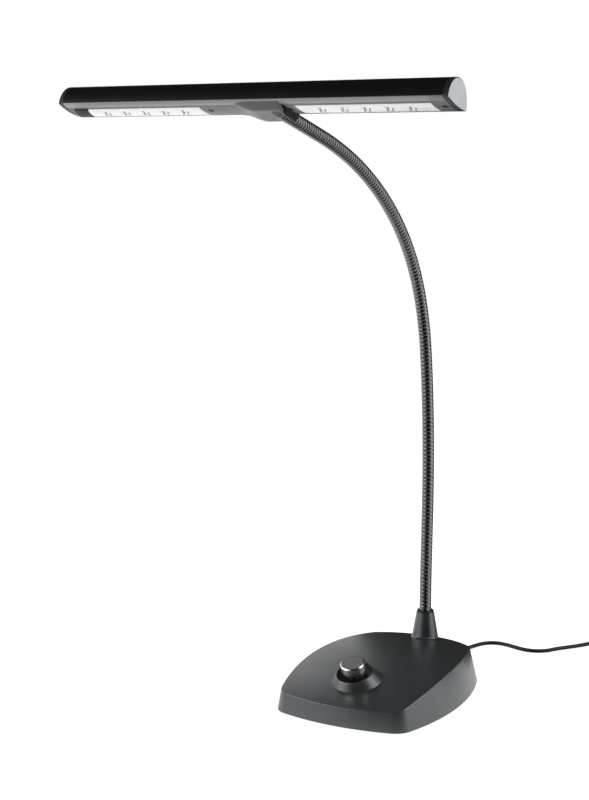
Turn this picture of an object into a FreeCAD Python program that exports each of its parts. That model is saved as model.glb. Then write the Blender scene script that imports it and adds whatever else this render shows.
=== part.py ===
import FreeCAD, Part
import math
import os
import re
import Sketcher

# A weighted table lamp for a piano: a low rounded base with a dimmer knob, a gooseneck that rises
# behind it and leans forward, and a long slim LED bar hung crosswise from the neck's end.
# Millimetres and degrees. X runs along the bar, Y to the back, Z up.
# The origin is on the table, on the axis of the neck.

V = FreeCAD.Vector
Placement = FreeCAD.Placement
Rotation = FreeCAD.Rotation

X_AXIS = V(1, 0, 0)
Y_AXIS = V(0, 1, 0)
Z_AXIS = V(0, 0, 1)

# ---------------------------------------------------------------------------------------------
# Driving sizes
# ---------------------------------------------------------------------------------------------

SIZES = (
    # Base: four bowed sides between inner corners, grown by the corner radius
    ("front_corner_x", 49.0),
    ("front_corner_y", 164.5),
    ("back_corner_x", 40.8),
    ("back_corner_y", 13.0),
    ("front_bow", 6.6),
    ("side_bow", 12.3),
    ("back_bow", 18.0),
    ("corner_radius", 20.0),
    ("draft_angle", 11.5),
    ("block_lean", 3.5),
    ("block_height", 45.0),
    ("crest_height", 38.6),
    ("crest_setback", 63.0),
    ("crown_radius", 400.0),
    ("side_crown_radius", 980.0),
    ("base_wall", 3.0),
    ("edge_round", 1.2),
    ("rim_lift", 0.8),
    # Neck seat on the base
    ("cone_foot_radius", 13.4),
    ("cone_foot_height", 32.0),
    ("cone_top_radius", 8.6),
    ("cone_top_height", 60.0),
    ("cone_foot_round", 2.2),
    ("neck_boss_radius", 10.0),
    ("neck_boss_bottom", 17.0),
    ("ferrule_seat_height", 35.0),
    ("ferrule_gap", 0.2),
    ("stud_radius", 4.9),
    ("stud_bottom", 9.0),
    ("thread_gap", 0.05),
    ("bush_radius", 8.2),
    ("bush_height", 1.6),
    ("bush_gap", 0.05),
    ("washer_radius", 9.5),
    ("washer_thickness", 1.4),
    ("nut_corner_radius", 8.1),
    ("nut_height", 5.2),
    # Gooseneck: tube links, each with a ball at its upper end and a cup at its lower end
    ("neck_radius", 5.8),
    ("neck_bore_radius", 2.5),
    ("first_ball_height", 65.0),
    ("link_length", 51.0),
    ("ball_gap", 0.3),
    ("turn_01", 2.0),
    ("turn_02", -0.5),
    ("turn_03", -3.0),
    ("turn_04", -3.0),
    ("turn_05", -3.5),
    ("turn_06", -12.5),
    ("turn_07", -15.5),
    ("turn_08", -13.0),
    ("turn_09", -10.0),
    ("turn_10", -8.5),
    ("turn_11", -6.5),
    ("turn_12", -0.5),
    # Bottom of the base
    ("pad_thickness", 1.6),
    ("plate_thickness", 2.0),
    ("plate_gap", 0.4),
    ("front_post_x", 52.0),
    ("front_post_y", 157.0),
    ("back_post_x", 38.0),
    ("back_post_y", 9.0),
    ("post_radius", 4.0),
    ("base_screw_radius", 1.5),
    ("base_screw_head_radius", 2.9),
    ("base_screw_head_depth", 1.4),
    ("base_screw_length", 12.0),
    ("screw_hole_gap", 0.2),
    ("screw_access_gap", 0.7),
    # Ballast
    ("ballast_half_width", 46.0),
    ("ballast_depth", 74.0),
    ("ballast_setback", 24.0),
    ("ballast_height", 23.0),
    ("ballast_chamfer", 3.0),
    ("ballast_screw_x", 30.0),
    # Dimmer: a knob on a potentiometer's shaft, and the board that it controls
    ("knob_setback", 146.0),
    ("knob_tilt", 8.0),
    ("knob_lift", 2.2),
    ("collar_root", 7.0),
    ("collar_foot_radius", 26.6),
    ("collar_top_radius", 17.4),
    ("collar_height", 6.8),
    ("collar_bore_radius", 16.2),
    ("collar_floor_drop", 0.5),
    ("collar_round", 0.6),
    ("knob_radius", 11.5),
    ("knob_gap", 1.2),
    ("knob_height", 16.6),
    ("knob_bevel", 1.1),
    ("knob_skirt_radius", 7.2),
    ("knob_skirt_depth", 3.6),
    ("knob_cap_radius", 9.9),
    ("knob_cap_thickness", 1.0),
    ("shaft_radius", 3.0),
    ("shaft_length", 22.0),
    ("shaft_gap", 0.05),
    ("bushing_radius", 3.5),
    ("bushing_length", 9.5),
    ("pot_size", 16.0),
    ("pot_height", 7.0),
    ("pot_seat_drop", 6.9),
    ("pot_seat_radius", 11.6),
    ("pot_nut_corner_radius", 5.8),
    ("pot_nut_height", 2.0),
    ("board_half_width", 27.0),
    ("board_depth", 52.0),
    ("board_setback", 108.0),
    ("board_lift", 3.6),
    ("board_thickness", 1.6),
    ("board_margin", 4.0),
    ("standoff_radius", 2.2),
    ("board_screw_radius", 1.2),
    ("board_screw_head_radius", 2.2),
    ("board_screw_head_height", 1.4),
    ("board_screw_length", 3.0),
    ("capacitor_radius", 4.0),
    ("capacitor_height", 8.0),
    ("choke_core_radius", 5.0),
    ("choke_wire_radius", 1.8),
    ("board_part_inset", 12.0),
    ("capacitor_x", 16.0),
    ("connector_width", 12.0),
    ("connector_depth", 7.0),
    ("connector_height", 6.0),
    # Cord outlet in the middle of the back wall
    ("cord_radius", 2.0),
    ("gland_height", 8.4),
    ("gland_seat_radius", 7.4),
    ("gland_seat_inner", 18.0),
    ("gland_seat_outer", 25.6),
    ("gland_neck_radius", 4.0),
    ("gland_flange_radius", 6.0),
    ("gland_flange_thickness", 1.5),
    ("gland_root_radius", 4.2),
    ("gland_tip_radius", 2.9),
    ("gland_length", 25.0),
    ("coil_radius", 23.0),
    ("coil_half_section", 6.0),
    ("coil_round", 2.0),
    ("coil_lead", 20.0),
    ("coil_tail", 34.0),
    ("plug_length", 58.0),
    ("plug_half_width", 17.0),
    ("plug_height", 27.0),
    ("plug_round", 5.0),
    ("plug_relief_length", 14.0),
    ("plug_relief_radius", 4.0),
    ("pin_radius", 2.0),
    ("pin_length", 19.0),
    ("pin_spacing", 19.0),
    # Head: an arched bar with a bowed underside
    ("head_length", 365.3),
    ("head_half_width", 17.8),
    ("head_arch", 20.2),
    ("head_belly", 2.2),
    ("head_corner_round", 1.3),
    ("head_wall", 1.6),
    ("seam_height", 0.5),
    ("ledge_half_width", 14.0),
    ("ledge_thickness", 1.6),
    ("rib_half_width", 3.2),
    ("rib_bottom", 7.6),
    ("slot_half_width", 1.4),
    ("slot_top", 16.0),
    ("cover_thickness", 1.5),
    # Neck joint in the head
    ("neck_offset", 27.1),
    ("head_tilt", 2.5),
    ("socket_reach", 22.5),
    ("socket_drop", 2.4),
    ("head_ferrule_length", 19.5),
    ("tongue_half_width", 4.5),
    ("tongue_length", 6.0),
    ("tongue_root", 4.5),
    ("tongue_bottom", 2.4),
    ("tongue_top", 1.5),
    ("saddle_half_width", 7.0),
    ("saddle_gap", 0.3),
    ("notch_gap", 0.2),
    ("bump_bottom", 6.0),
    ("bump_front", 7.0),
    ("bump_back", 16.8),
    ("bump_left", 10.5),
    ("bump_left_flat", 8.0),
    ("bump_right_flat", 33.5),
    ("bump_right", 35.5),
    ("bump_wall", 1.5),
    # Light windows, reflectors and LEDs on each side of the neck
    ("window_inner", 45.9),
    ("window_end_margin", 18.95),
    ("window_half_width", 7.2),
    ("window_gap", 0.1),
    ("lens_flange", 2.3),
    ("cell_count", 6),
    ("cell_wall", 0.9),
    ("cell_top_size", 8.0),
    ("reflector_half_width", 11.0),
    ("reflector_end", 4.9),
    ("reflector_top", 6.4),
    ("reflector_tab", 3.0),
    ("led_size", 3.0),
    ("led_height", 0.6),
    ("led_screw_radius", 1.2),
    ("led_screw_head_radius", 1.9),
    ("led_screw_head_height", 1.6),
    ("led_screw_inset", 3.0),
    ("led_screw_top", 10.5),
    # Cover screws and end caps
    ("inner_screw_x", 37.5),
    ("cover_post_radius", 3.0),
    ("cover_screw_radius", 1.3),
    ("cover_screw_head_radius", 2.6),
    ("cover_screw_sink", 0.9),
    ("cover_screw_head_height", 0.8),
    ("cover_screw_top", 10.5),
    ("cap_thickness", 4.5),
    ("cap_round", 0.5),
    ("cap_rim", 0.7),
    ("inlay_thickness", 0.9),
    ("inlay_gap", 0.05),
    ("tang_length", 5.0),
    ("tang_inner", 4.2),
    ("tang_outer", 13.5),
    ("tang_bottom", 2.4),
    ("tang_top", 5.0),
    ("cap_screw_height", 13.0),
    ("cap_screw_radius", 1.3),
    ("cap_screw_head_radius", 2.5),
    ("cap_screw_head_height", 1.4),
    ("cap_screw_length", 8.0),
)

doc = FreeCAD.newDocument("PianoLamp")
sheet = doc.addObject("Spreadsheet::Sheet", "Sizes")
for row, (alias, number) in enumerate(SIZES, start=1):
    sheet.set("A%d" % row, alias)
    sheet.set("B%d" % row, str(number))
    sheet.setAlias("B%d" % row, alias)
doc.recompute()

ALIASES = {alias for alias, number in SIZES}


# ---------------------------------------------------------------------------------------------
# Helpers
# ---------------------------------------------------------------------------------------------

def bound(formula):
    """The formula with each size's alias written as a reference to the sheet."""
    return re.sub(r"[a-z_]\w*", lambda word: "Sizes." + word[0] if word[0] in ALIASES else word[0],
                  formula)


def value(formula):
    """The formula's present value."""
    return float(sheet.evalExpression(bound(formula)))


def at(x="0", y="0", z="0", rotation=Rotation()):
    """A placement from three formulas."""
    return Placement(V(value(x), value(y), value(z)), rotation)


def primitive(kind, name, place=Placement(), **formulas):
    """A Part primitive whose properties follow the sheet."""
    piece = doc.addObject("Part::" + kind, name)
    for property_name, formula in formulas.items():
        piece.setExpression(property_name, bound(formula))
    piece.Placement = place
    return piece


def cylinder(name, radius, height, place=Placement()):
    return primitive("Cylinder", name, place, Radius=radius, Height=height)


def block(name, low, high, frame=Placement()):
    """A box between two corners given by formulas, seen in a frame."""
    lengths = ["(%s) - (%s)" % (top, bottom) for bottom, top in zip(low, high)]
    return primitive("Box", name, frame.multiply(at(*low)),
                     Length=lengths[0], Width=lengths[1], Height=lengths[2])


def fuse(name, *pieces):
    result = doc.addObject("Part::MultiFuse", name)
    result.Shapes = list(pieces)
    return result


def common(name, *pieces):
    result = doc.addObject("Part::MultiCommon", name)
    result.Shapes = list(pieces)
    return result


def cut(name, base, *tools):
    """The base less all the tools."""
    result = doc.addObject("Part::Cut", name)
    result.Base = base
    result.Tool = tools[0] if len(tools) == 1 else fuse(name + "_tools", *tools)
    return result


def rounded(name, base, radius, chosen):
    """The base with the edges that a test chooses rounded."""
    doc.recompute()
    edges = [number for number, edge in enumerate(base.Shape.Edges, start=1) if chosen(edge)]
    result = doc.addObject("Part::Fillet", name)
    result.Base = base
    result.Edges = [(number, value(radius), value(radius)) for number in edges]
    return result


def origin_plane(body, role):
    """One of a body's own origin planes."""
    return [plane for plane in body.Origin.OriginFeatures if plane.Role == role][0]


def polygon_sketch(body, name, plane, corners):
    """A closed polygon of a body, with every corner's two coordinates bound to formulas."""
    sketch = body.newObject("Sketcher::SketchObject", name)
    sketch.AttachmentSupport = [(origin_plane(body, plane), "")]
    sketch.MapMode = "FlatFace"
    points = [V(value(across), value(along), 0) for across, along in corners]
    for number, start in enumerate(points):
        sketch.addGeometry(Part.LineSegment(start, points[(number + 1) % len(points)]))
    for number in range(len(points)):
        following = (number + 1) % len(points)
        sketch.addConstraint(Sketcher.Constraint("Coincident", number, 2, following, 1))
    for number, (across, along) in enumerate(corners):
        for kind, formula, axis in (("DistanceX", across, -2), ("DistanceY", along, -1)):
            if formula == "0":
                sketch.addConstraint(Sketcher.Constraint("PointOnObject", number, 1, axis))
            else:
                placed = Sketcher.Constraint(kind, -1, 1, number, 1, value(formula))
                index = sketch.addConstraint(placed)
                sketch.setExpression("Constraints[%d]" % index, bound(formula))
    return sketch


def turned(name, outline, place=Placement()):
    """A body turned about its Z axis from an outline of (radius, height) formulas."""
    body = doc.addObject("PartDesign::Body", name)
    sketch = polygon_sketch(body, name + "_outline", "XZ_Plane", outline)
    turning = body.newObject("PartDesign::Revolution", name + "_turning")
    turning.Profile = sketch
    turning.ReferenceAxis = (sketch, ["V_Axis"])
    turning.Angle = 360
    body.Placement = place
    return body


def ring_outline(inner, outer, bottom, top):
    """The outline of a plain ring."""
    return [(inner, bottom), (outer, bottom), (outer, top), (inner, top)]


def group(name, template, places):
    """Copies of one finished piece, kept together as separate solids."""
    doc.recompute()
    copies = []
    for place in places:
        copy = template.Shape.copy()
        copy.Placement = place.multiply(template.Placement)
        copies.append(copy)
    piece = doc.addObject("Part::Feature", name)
    piece.Shape = Part.makeCompound(copies)
    return piece


NODES = []


def keep(piece, label):
    """Marks a finished sub-part, which is written to a file of its label."""
    piece.Label = label
    NODES.append(piece)
    return piece


def mirrored_pairs(x, y):
    """Places at both sides of the base's middle plane."""
    return [at("-(%s)" % x, y), at(x, y)]


# ---------------------------------------------------------------------------------------------
# Base shell
# ---------------------------------------------------------------------------------------------

TAPER = "tan(draft_angle)"
LEAN = "tan(block_lean)"
PLATE_TOP = "pad_thickness + plate_thickness"


def footprint_sketch():
    """The four bowed sides of the base between its inner corners."""
    sketch = doc.addObject("Sketcher::SketchObject", "footprint")
    corners = [("-front_corner_x", "-front_corner_y"), ("front_corner_x", "-front_corner_y"),
               ("back_corner_x", "-back_corner_y"), ("-back_corner_x", "-back_corner_y")]
    side_chord = "((front_corner_x - back_corner_x)^2 + (front_corner_y - back_corner_y)^2)"
    bows = [("front_bow", "(2 * front_corner_x)^2"), ("side_bow", side_chord),
            ("back_bow", "(2 * back_corner_x)^2"), ("side_bow", side_chord)]
    points = [V(value(x), value(y), 0) for x, y in corners]
    for number, start in enumerate(points):
        end = points[(number + 1) % len(points)]
        along = (end - start).normalize()
        outward = along.cross(Z_AXIS)
        crown = (start + end) * 0.5 + outward * value(bows[number][0])
        sketch.addGeometry(Part.Arc(start, crown, end))
    arcs = sketch.Geometry
    begins = [1 if (arc.StartPoint - point).Length < (arc.EndPoint - point).Length else 2
              for arc, point in zip(arcs, points)]
    for number in range(len(points)):
        following = (number + 1) % len(points)
        ends = 3 - begins[number]
        sketch.addConstraint(Sketcher.Constraint("Coincident", number, ends, following,
                                                 begins[following]))
    for number, (x, y) in enumerate(corners):
        for kind, formula in (("DistanceX", x), ("DistanceY", y)):
            placed = Sketcher.Constraint(kind, -1, 1, number, begins[number], value(formula))
            index = sketch.addConstraint(placed)
            sketch.setExpression("Constraints[%d]" % index, bound(formula))
    for number, (bow, chord_squared) in enumerate(bows):
        radius = "%s / (8 * %s) + %s / 2" % (chord_squared, bow, bow)
        index = sketch.addConstraint(Sketcher.Constraint("Radius", number, value(radius)))
        sketch.setExpression("Constraints[%d]" % index, bound(radius))
    return sketch


footprint = footprint_sketch()


def outline_at(name, growth, height, forward="0"):
    """The footprint grown outward, at a height, moved forward."""
    wire = doc.addObject("Part::Offset2D", name)
    wire.Source = footprint
    wire.Join = 0
    wire.setExpression("Value", bound(growth))
    wire.Placement = at(y="-(%s)" % forward, z=height)
    return wire


def crowned_block(name, inset):
    """The drafted block under the crowned top, with all its faces moved in by the inset.

    Its top leans forward, so that the front stands steeper than the back.
    """
    low = outline_at(name + "_low", "corner_radius - (%s)" % inset, "0")
    high = outline_at(name + "_high",
                      "corner_radius - block_height * %s - (%s)" % (TAPER, inset), "block_height",
                      "block_height * " + LEAN)
    sides = doc.addObject("Part::Loft", name + "_sides")
    sides.Sections = [low, high]
    sides.Solid = True
    sides.Ruled = True
    # The crown is part of a ring's outer side: one radius from front to back, another across
    ring_place = Placement(V(0, -value("crest_setback"), value("crest_height - side_crown_radius")),
                           Rotation(X_AXIS, 90))
    crown = primitive("Torus", name + "_crown", ring_place,
                      Radius1="side_crown_radius - crown_radius",
                      Radius2="crown_radius - (%s)" % inset,
                      Angle1="-180", Angle2="180", Angle3="360")
    return common(name, sides, crown)


def crown_distance(point):
    """How far a point lies from the crowned top surface."""
    outward = math.hypot(point.x, point.z - value("crest_height - side_crown_radius"))
    from_middle = outward - value("side_crown_radius - crown_radius")
    return abs(math.hypot(from_middle, point.y + value("crest_setback")) - value("crown_radius"))


def on_crown(edge):
    """True of an edge that runs in the crowned top surface."""
    middle = edge.valueAt((edge.FirstParameter + edge.LastParameter) / 2)
    points = [vertex.Point for vertex in edge.Vertexes] + [middle]
    return max(crown_distance(point) for point in points) < 0.01


# The knob's frame: its origin a little above the crowned top, its Z axis tilted to the front
crown_lean = math.asin(value("(knob_setback - crest_setback) / crown_radius"))
knob_lean = math.degrees(crown_lean) + value("knob_tilt")
knob_frame = Placement(
    V(0, -value("crest_setback") - value("crown_radius + knob_lift") * math.sin(crown_lean),
      value("crest_height - crown_radius") + value("crown_radius + knob_lift") * math.cos(crown_lean)),
    Rotation(X_AXIS, knob_lean))


def in_knob_frame(height):
    return knob_frame.multiply(at(z=height))


# The cord outlet's frame: its Z axis points straight back
gland_frame = Placement(V(0, value("gland_seat_outer"), value("gland_height")), Rotation(X_AXIS, -90))

POST_PLACES = (mirrored_pairs("front_post_x", "-front_post_y")
               + mirrored_pairs("back_post_x", "-back_post_y"))


def make_base_shell():
    solid = rounded("base_solid", crowned_block("base_block", "0"), "edge_round", on_crown)
    hollow = crowned_block("base_hollow", "base_wall")

    posts = []
    pilots = []
    for number, place in enumerate(POST_PLACES):
        foot = place.multiply(at(z=PLATE_TOP))
        posts.append(cylinder("post_%d" % number, "post_radius", "block_height", foot))
        pilots.append(cylinder("pilot_%d" % number, "base_screw_radius + thread_gap",
                               "base_screw_length", foot))
    boss = cylinder("neck_boss", "neck_boss_radius", "block_height", at(z="neck_boss_bottom"))
    pot_seat = cylinder("pot_seat", "pot_seat_radius", "pot_seat_drop",
                        in_knob_frame("-pot_seat_drop"))
    inner_forms = common("base_inner_forms", fuse("base_inner_posts", boss, pot_seat, *posts), solid)
    walls = fuse("base_walls", cut("base_walls_open", solid, hollow), inner_forms)

    slope = "((cone_foot_radius - cone_top_radius) / (cone_top_height - cone_foot_height))"
    cone = primitive("Cone", "neck_cone", at(z="cone_foot_height - base_wall"),
                     Radius1="cone_foot_radius + base_wall * %s" % slope,
                     Radius2="cone_top_radius",
                     Height="cone_top_height - cone_foot_height + base_wall")
    with_cone = fuse("base_with_cone", walls, cone)
    foot_radius = value("cone_foot_radius")
    top_radius = value("cone_top_radius")
    lean = value(slope)

    def at_cone_foot(edge):
        middle = edge.valueAt((edge.FirstParameter + edge.LastParameter) / 2)
        reach = math.hypot(middle.x, middle.y)
        expected = foot_radius - (middle.z - value("cone_foot_height")) * lean
        return on_crown(edge) and top_radius < reach and abs(reach - expected) < 0.05

    seated = rounded("base_cone_rounded", with_cone, "cone_foot_round", at_cone_foot)

    collar_form = turned("knob_collar_form", [
        ("0", "-collar_root"), ("collar_foot_radius", "-collar_root"),
        ("collar_top_radius", "collar_height - collar_round"),
        ("collar_top_radius - collar_round", "collar_height"), ("0", "collar_height")], knob_frame)
    collar = cut("knob_collar", collar_form, hollow)
    gland_seat = cylinder("gland_seat", "gland_seat_radius", "gland_seat_outer - gland_seat_inner",
                          gland_frame.multiply(at(z="gland_seat_inner - gland_seat_outer")))
    raised = fuse("base_raised", seated, collar, gland_seat)

    knob_well = cylinder("knob_well", "collar_bore_radius", "block_height",
                         in_knob_frame("-collar_floor_drop"))
    pot_hole = cylinder("pot_hole", "bushing_radius + ferrule_gap", "2 * block_height",
                        in_knob_frame("-block_height"))
    neck_seat = cylinder("neck_seat", "neck_radius + ferrule_gap", "block_height",
                         at(z="ferrule_seat_height"))
    stud_hole = cylinder("stud_hole", "stud_radius + ferrule_gap", "block_height")
    gland_hole = cylinder("gland_hole", "gland_neck_radius + thread_gap", "block_height",
                          gland_frame.multiply(at(z="-gland_length")))
    below = block("below_rim", ("-2 * front_corner_x", "-2 * front_corner_y", "-block_height"),
                  ("2 * front_corner_x", "front_corner_y", "rim_lift"))
    return cut("base_shell_cut", raised, knob_well, pot_hole, neck_seat, stud_hole, gland_hole,
               below, *pilots)


keep(make_base_shell(), "base_shell")


# ---------------------------------------------------------------------------------------------
# Neck seat: ferrule, bush, washer and nut
# ---------------------------------------------------------------------------------------------

def half_ball(name, radius, place):
    return primitive("Sphere", name, place, Radius=radius, Angle1="0", Angle2="90")


neck_start = at(z="first_ball_height")

ferrule_blank = turned("ferrule_blank", [
    ("0", "stud_bottom"), ("stud_radius", "stud_bottom"), ("stud_radius", "ferrule_seat_height"),
    ("neck_radius", "ferrule_seat_height"), ("neck_radius", "first_ball_height"),
    ("0", "first_ball_height")])
ferrule_ball = half_ball("ferrule_ball", "neck_radius", neck_start)
ferrule_bore = cylinder("ferrule_bore", "neck_bore_radius", "first_ball_height + 2 * neck_radius")
keep(cut("neck_ferrule_cut", fuse("ferrule_outer", ferrule_blank, ferrule_ball), ferrule_bore),
     "neck_ferrule")

keep(turned("neck_bush_body", ring_outline("neck_radius + bush_gap", "bush_radius", "cone_top_height",
                                           "cone_top_height + bush_height")), "neck_bush")

keep(turned("neck_washer_body", ring_outline(
    "stud_radius + thread_gap", "washer_radius", "neck_boss_bottom - washer_thickness",
    "neck_boss_bottom")), "neck_lock_washer")


def hex_nut(name, corner_radius, height, bore, place):
    """A hexagon nut, from its place up."""
    blank = primitive("Prism", name + "_blank", place, Circumradius=corner_radius, Height=height)
    blank.Polygon = 6
    hole = cylinder(name + "_hole", bore, height, place)
    return cut(name + "_cut", blank, hole)


keep(hex_nut("neck_nut", "nut_corner_radius", "nut_height", "stud_radius + thread_gap",
             at(z="neck_boss_bottom - washer_thickness - nut_height")), "neck_lock_nut")


# ---------------------------------------------------------------------------------------------
# Gooseneck links
# ---------------------------------------------------------------------------------------------

TURNS = [alias for alias, number in SIZES if alias.startswith("turn_")]


def arc_radius(turn):
    """The bending radius of a link that turns by an angle over its length."""
    return "link_length * 180 / (pi * abs(%s))" % turn


def far_end(turn):
    """The upper end of a link seen from its lower end. A positive turn leans it back."""
    side = math.copysign(1, value(turn))
    radius = value(arc_radius(turn)) * side
    angle = math.radians(value(turn))
    return Placement(V(0, radius * (1 - math.cos(angle)), radius * math.sin(angle)),
                     Rotation(X_AXIS, -value(turn)))


def bent_tube(name, radius, turn, start):
    """A tube section bent in an arc from the start frame's origin along its Z axis."""
    side = math.copysign(1, value(turn))
    facing = Rotation(V(0, -side, 0), Z_AXIS, V(-side, 0, 0), "XYZ")
    centre = Placement(V(0, side * value(arc_radius(turn)), 0), facing)
    return primitive("Torus", name, start.multiply(centre), Radius1=arc_radius(turn), Radius2=radius,
                     Angle1="-180", Angle2="180", Angle3="abs(%s)" % turn)


def make_link(number, turn, start):
    """A bent tube with a ball at its far end and a cup for the last link's ball at its start."""
    name = "link_%02d" % number
    end = start.multiply(far_end(turn))
    tube = bent_tube(name + "_tube", "neck_radius", turn, start)
    ball = half_ball(name + "_ball", "neck_radius", end)
    bore = bent_tube(name + "_bore", "neck_bore_radius", turn, start)
    mouth = cylinder(name + "_mouth", "neck_bore_radius", "2 * neck_radius", end)
    cup = primitive("Sphere", name + "_cup", start, Radius="neck_radius + ball_gap")
    return cut(name + "_cut", fuse(name + "_outer", tube, ball), bore, mouth, cup)


frame = neck_start
neck_frames = [frame]
for number, turn in enumerate(TURNS, start=1):
    keep(make_link(number, turn, frame), "neck_link_%02d" % number)
    frame = frame.multiply(far_end(turn))
    neck_frames.append(frame)
neck_end = frame


# ---------------------------------------------------------------------------------------------
# Bottom of the base: rubber pad, steel plate, screws and ballast
# ---------------------------------------------------------------------------------------------

def bottom_slab(name, bottom, thickness):
    """A slab inside the base's rim."""
    outline = outline_at(name + "_outline", "corner_radius - base_wall - plate_gap - (%s) * %s"
                         % (PLATE_TOP, TAPER), bottom, "(%s) * %s" % (PLATE_TOP, LEAN))
    slab = doc.addObject("Part::Extrusion", name)
    slab.Base = outline
    slab.DirMode = "Custom"
    slab.Dir = Z_AXIS
    slab.Solid = True
    slab.setExpression("LengthFwd", bound(thickness))
    return slab


BALLAST_SCREW_PLACES = mirrored_pairs("ballast_screw_x", "-ballast_setback - ballast_depth / 2")
BOTTOM_PLACES = POST_PLACES + BALLAST_SCREW_PLACES

def gland_notch(name):
    """The room that a bottom slab leaves round the cord outlet."""
    depth = "gland_seat_outer - gland_seat_inner + gland_flange_thickness + plate_gap"
    return cylinder(name, "gland_seat_radius + plate_gap", depth,
                    gland_frame.multiply(at(z="-(%s)" % depth)))


pad_holes = [cylinder("pad_hole_%d" % number, "base_screw_head_radius + screw_access_gap",
                      "pad_thickness", place) for number, place in enumerate(BOTTOM_PLACES)]
keep(cut("pad_cut", bottom_slab("pad_slab", "0", "pad_thickness"), gland_notch("pad_notch"),
         *pad_holes), "anti_slip_pad")

plate_holes = []
for number, place in enumerate(BOTTOM_PLACES):
    foot = place.multiply(at(z="pad_thickness"))
    plate_holes.append(cylinder("plate_hole_%d" % number, "base_screw_radius + screw_hole_gap",
                                "plate_thickness", foot))
    plate_holes.append(primitive("Cone", "plate_sink_%d" % number, foot,
                                 Radius1="base_screw_head_radius",
                                 Radius2="base_screw_radius", Height="base_screw_head_depth"))
keep(cut("plate_cut", bottom_slab("plate_slab", "pad_thickness", "plate_thickness"),
         gland_notch("plate_notch"), *plate_holes), "bottom_plate")

base_screw = turned("base_screw", [
    ("0", "pad_thickness"), ("base_screw_head_radius", "pad_thickness"),
    ("base_screw_radius", "pad_thickness + base_screw_head_depth"),
    ("base_screw_radius", "pad_thickness + base_screw_length"),
    ("0", "pad_thickness + base_screw_length")])
keep(group("base_screws", base_screw, POST_PLACES), "bottom_screws")
keep(group("weight_screws", base_screw, BALLAST_SCREW_PLACES), "ballast_screws")

ballast_block = block(
    "ballast_block", ("-ballast_half_width", "-ballast_setback - ballast_depth", PLATE_TOP),
    ("ballast_half_width", "-ballast_setback", "%s + ballast_height" % PLATE_TOP))


def upright(edge):
    start, end = [vertex.Point for vertex in edge.Vertexes]
    return abs(start.z - end.z) > value("ballast_height") / 2


ballast_rounded = rounded("ballast_rounded", ballast_block, "ballast_chamfer", upright)
ballast_holes = [cylinder("ballast_hole_%d" % number, "base_screw_radius + thread_gap",
                          "base_screw_length", place.multiply(at(z=PLATE_TOP)))
                 for number, place in enumerate(BALLAST_SCREW_PLACES)]
keep(cut("ballast_cut", ballast_rounded, *ballast_holes), "ballast_weight")


# ---------------------------------------------------------------------------------------------
# Dimmer: potentiometer, knob and control board
# ---------------------------------------------------------------------------------------------

pot_top = in_knob_frame("-pot_seat_drop")
pot_case = block("pot_case", ("-pot_size / 2", "-pot_size / 2", "-pot_height"),
                 ("pot_size / 2", "pot_size / 2", "0"), pot_top)
pot_bushing = cylinder("pot_bushing", "bushing_radius", "bushing_length", pot_top)
pot_bore = cylinder("pot_bore", "shaft_radius + shaft_gap", "bushing_length + pot_height / 2",
                    pot_top.multiply(at(z="-pot_height / 2")))
keep(cut("pot_cut", fuse("pot_outer", pot_case, pot_bushing), pot_bore), "dimmer_pot")

keep(hex_nut("pot_nut_form", "pot_nut_corner_radius", "pot_nut_height", "bushing_radius + thread_gap",
             in_knob_frame("-collar_floor_drop")), "pot_nut")

KNOB_TOP = "knob_gap + knob_height"
SHAFT_TOP = "shaft_length - pot_seat_drop - pot_height / 2"
keep(turned("pot_shaft_body", [
    ("0", "shaft_gap - pot_seat_drop - pot_height / 2"),
    ("shaft_radius", "shaft_gap - pot_seat_drop - pot_height / 2"),
    ("shaft_radius", SHAFT_TOP), ("0", SHAFT_TOP)], knob_frame), "pot_shaft")

keep(turned("knob_body", [
    ("shaft_radius", "knob_gap + knob_skirt_depth"), ("knob_skirt_radius", "knob_gap + knob_skirt_depth"),
    ("knob_skirt_radius", "knob_gap"), ("knob_radius", "knob_gap"),
    ("knob_radius", "%s - knob_bevel" % KNOB_TOP), ("knob_radius - knob_bevel", KNOB_TOP),
    ("knob_cap_radius", KNOB_TOP), ("knob_cap_radius", "%s - knob_cap_thickness" % KNOB_TOP),
    ("0", "%s - knob_cap_thickness" % KNOB_TOP), ("0", SHAFT_TOP), ("shaft_radius", SHAFT_TOP)],
    knob_frame), "knob")

keep(turned("knob_cap_body", [
    ("0", "%s - knob_cap_thickness" % KNOB_TOP),
    ("knob_cap_radius", "%s - knob_cap_thickness" % KNOB_TOP),
    ("knob_cap_radius", KNOB_TOP), ("0", KNOB_TOP)], knob_frame), "knob_cap")

BOARD_BOTTOM = "%s + board_lift" % PLATE_TOP
BOARD_TOP = "%s + board_thickness" % BOARD_BOTTOM
board_edge_x = "board_half_width - board_margin"
BOARD_PLACES = (mirrored_pairs(board_edge_x, "-board_setback - board_margin")
                + mirrored_pairs(board_edge_x, "-board_setback - board_depth + board_margin"))

board_blank = block("board_blank", ("-board_half_width", "-board_setback - board_depth", BOARD_BOTTOM),
                    ("board_half_width", "-board_setback", BOARD_TOP))
board_holes = [cylinder("board_hole_%d" % number, "board_screw_radius + screw_hole_gap",
                        "board_thickness", place.multiply(at(z=BOARD_BOTTOM)))
               for number, place in enumerate(BOARD_PLACES)]
keep(cut("board_cut", board_blank, *board_holes), "dimmer_board")

standoff = turned("standoff", ring_outline("board_screw_radius + thread_gap", "standoff_radius",
                                           PLATE_TOP, BOARD_BOTTOM))
keep(group("standoffs", standoff, BOARD_PLACES), "board_standoffs")

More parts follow.
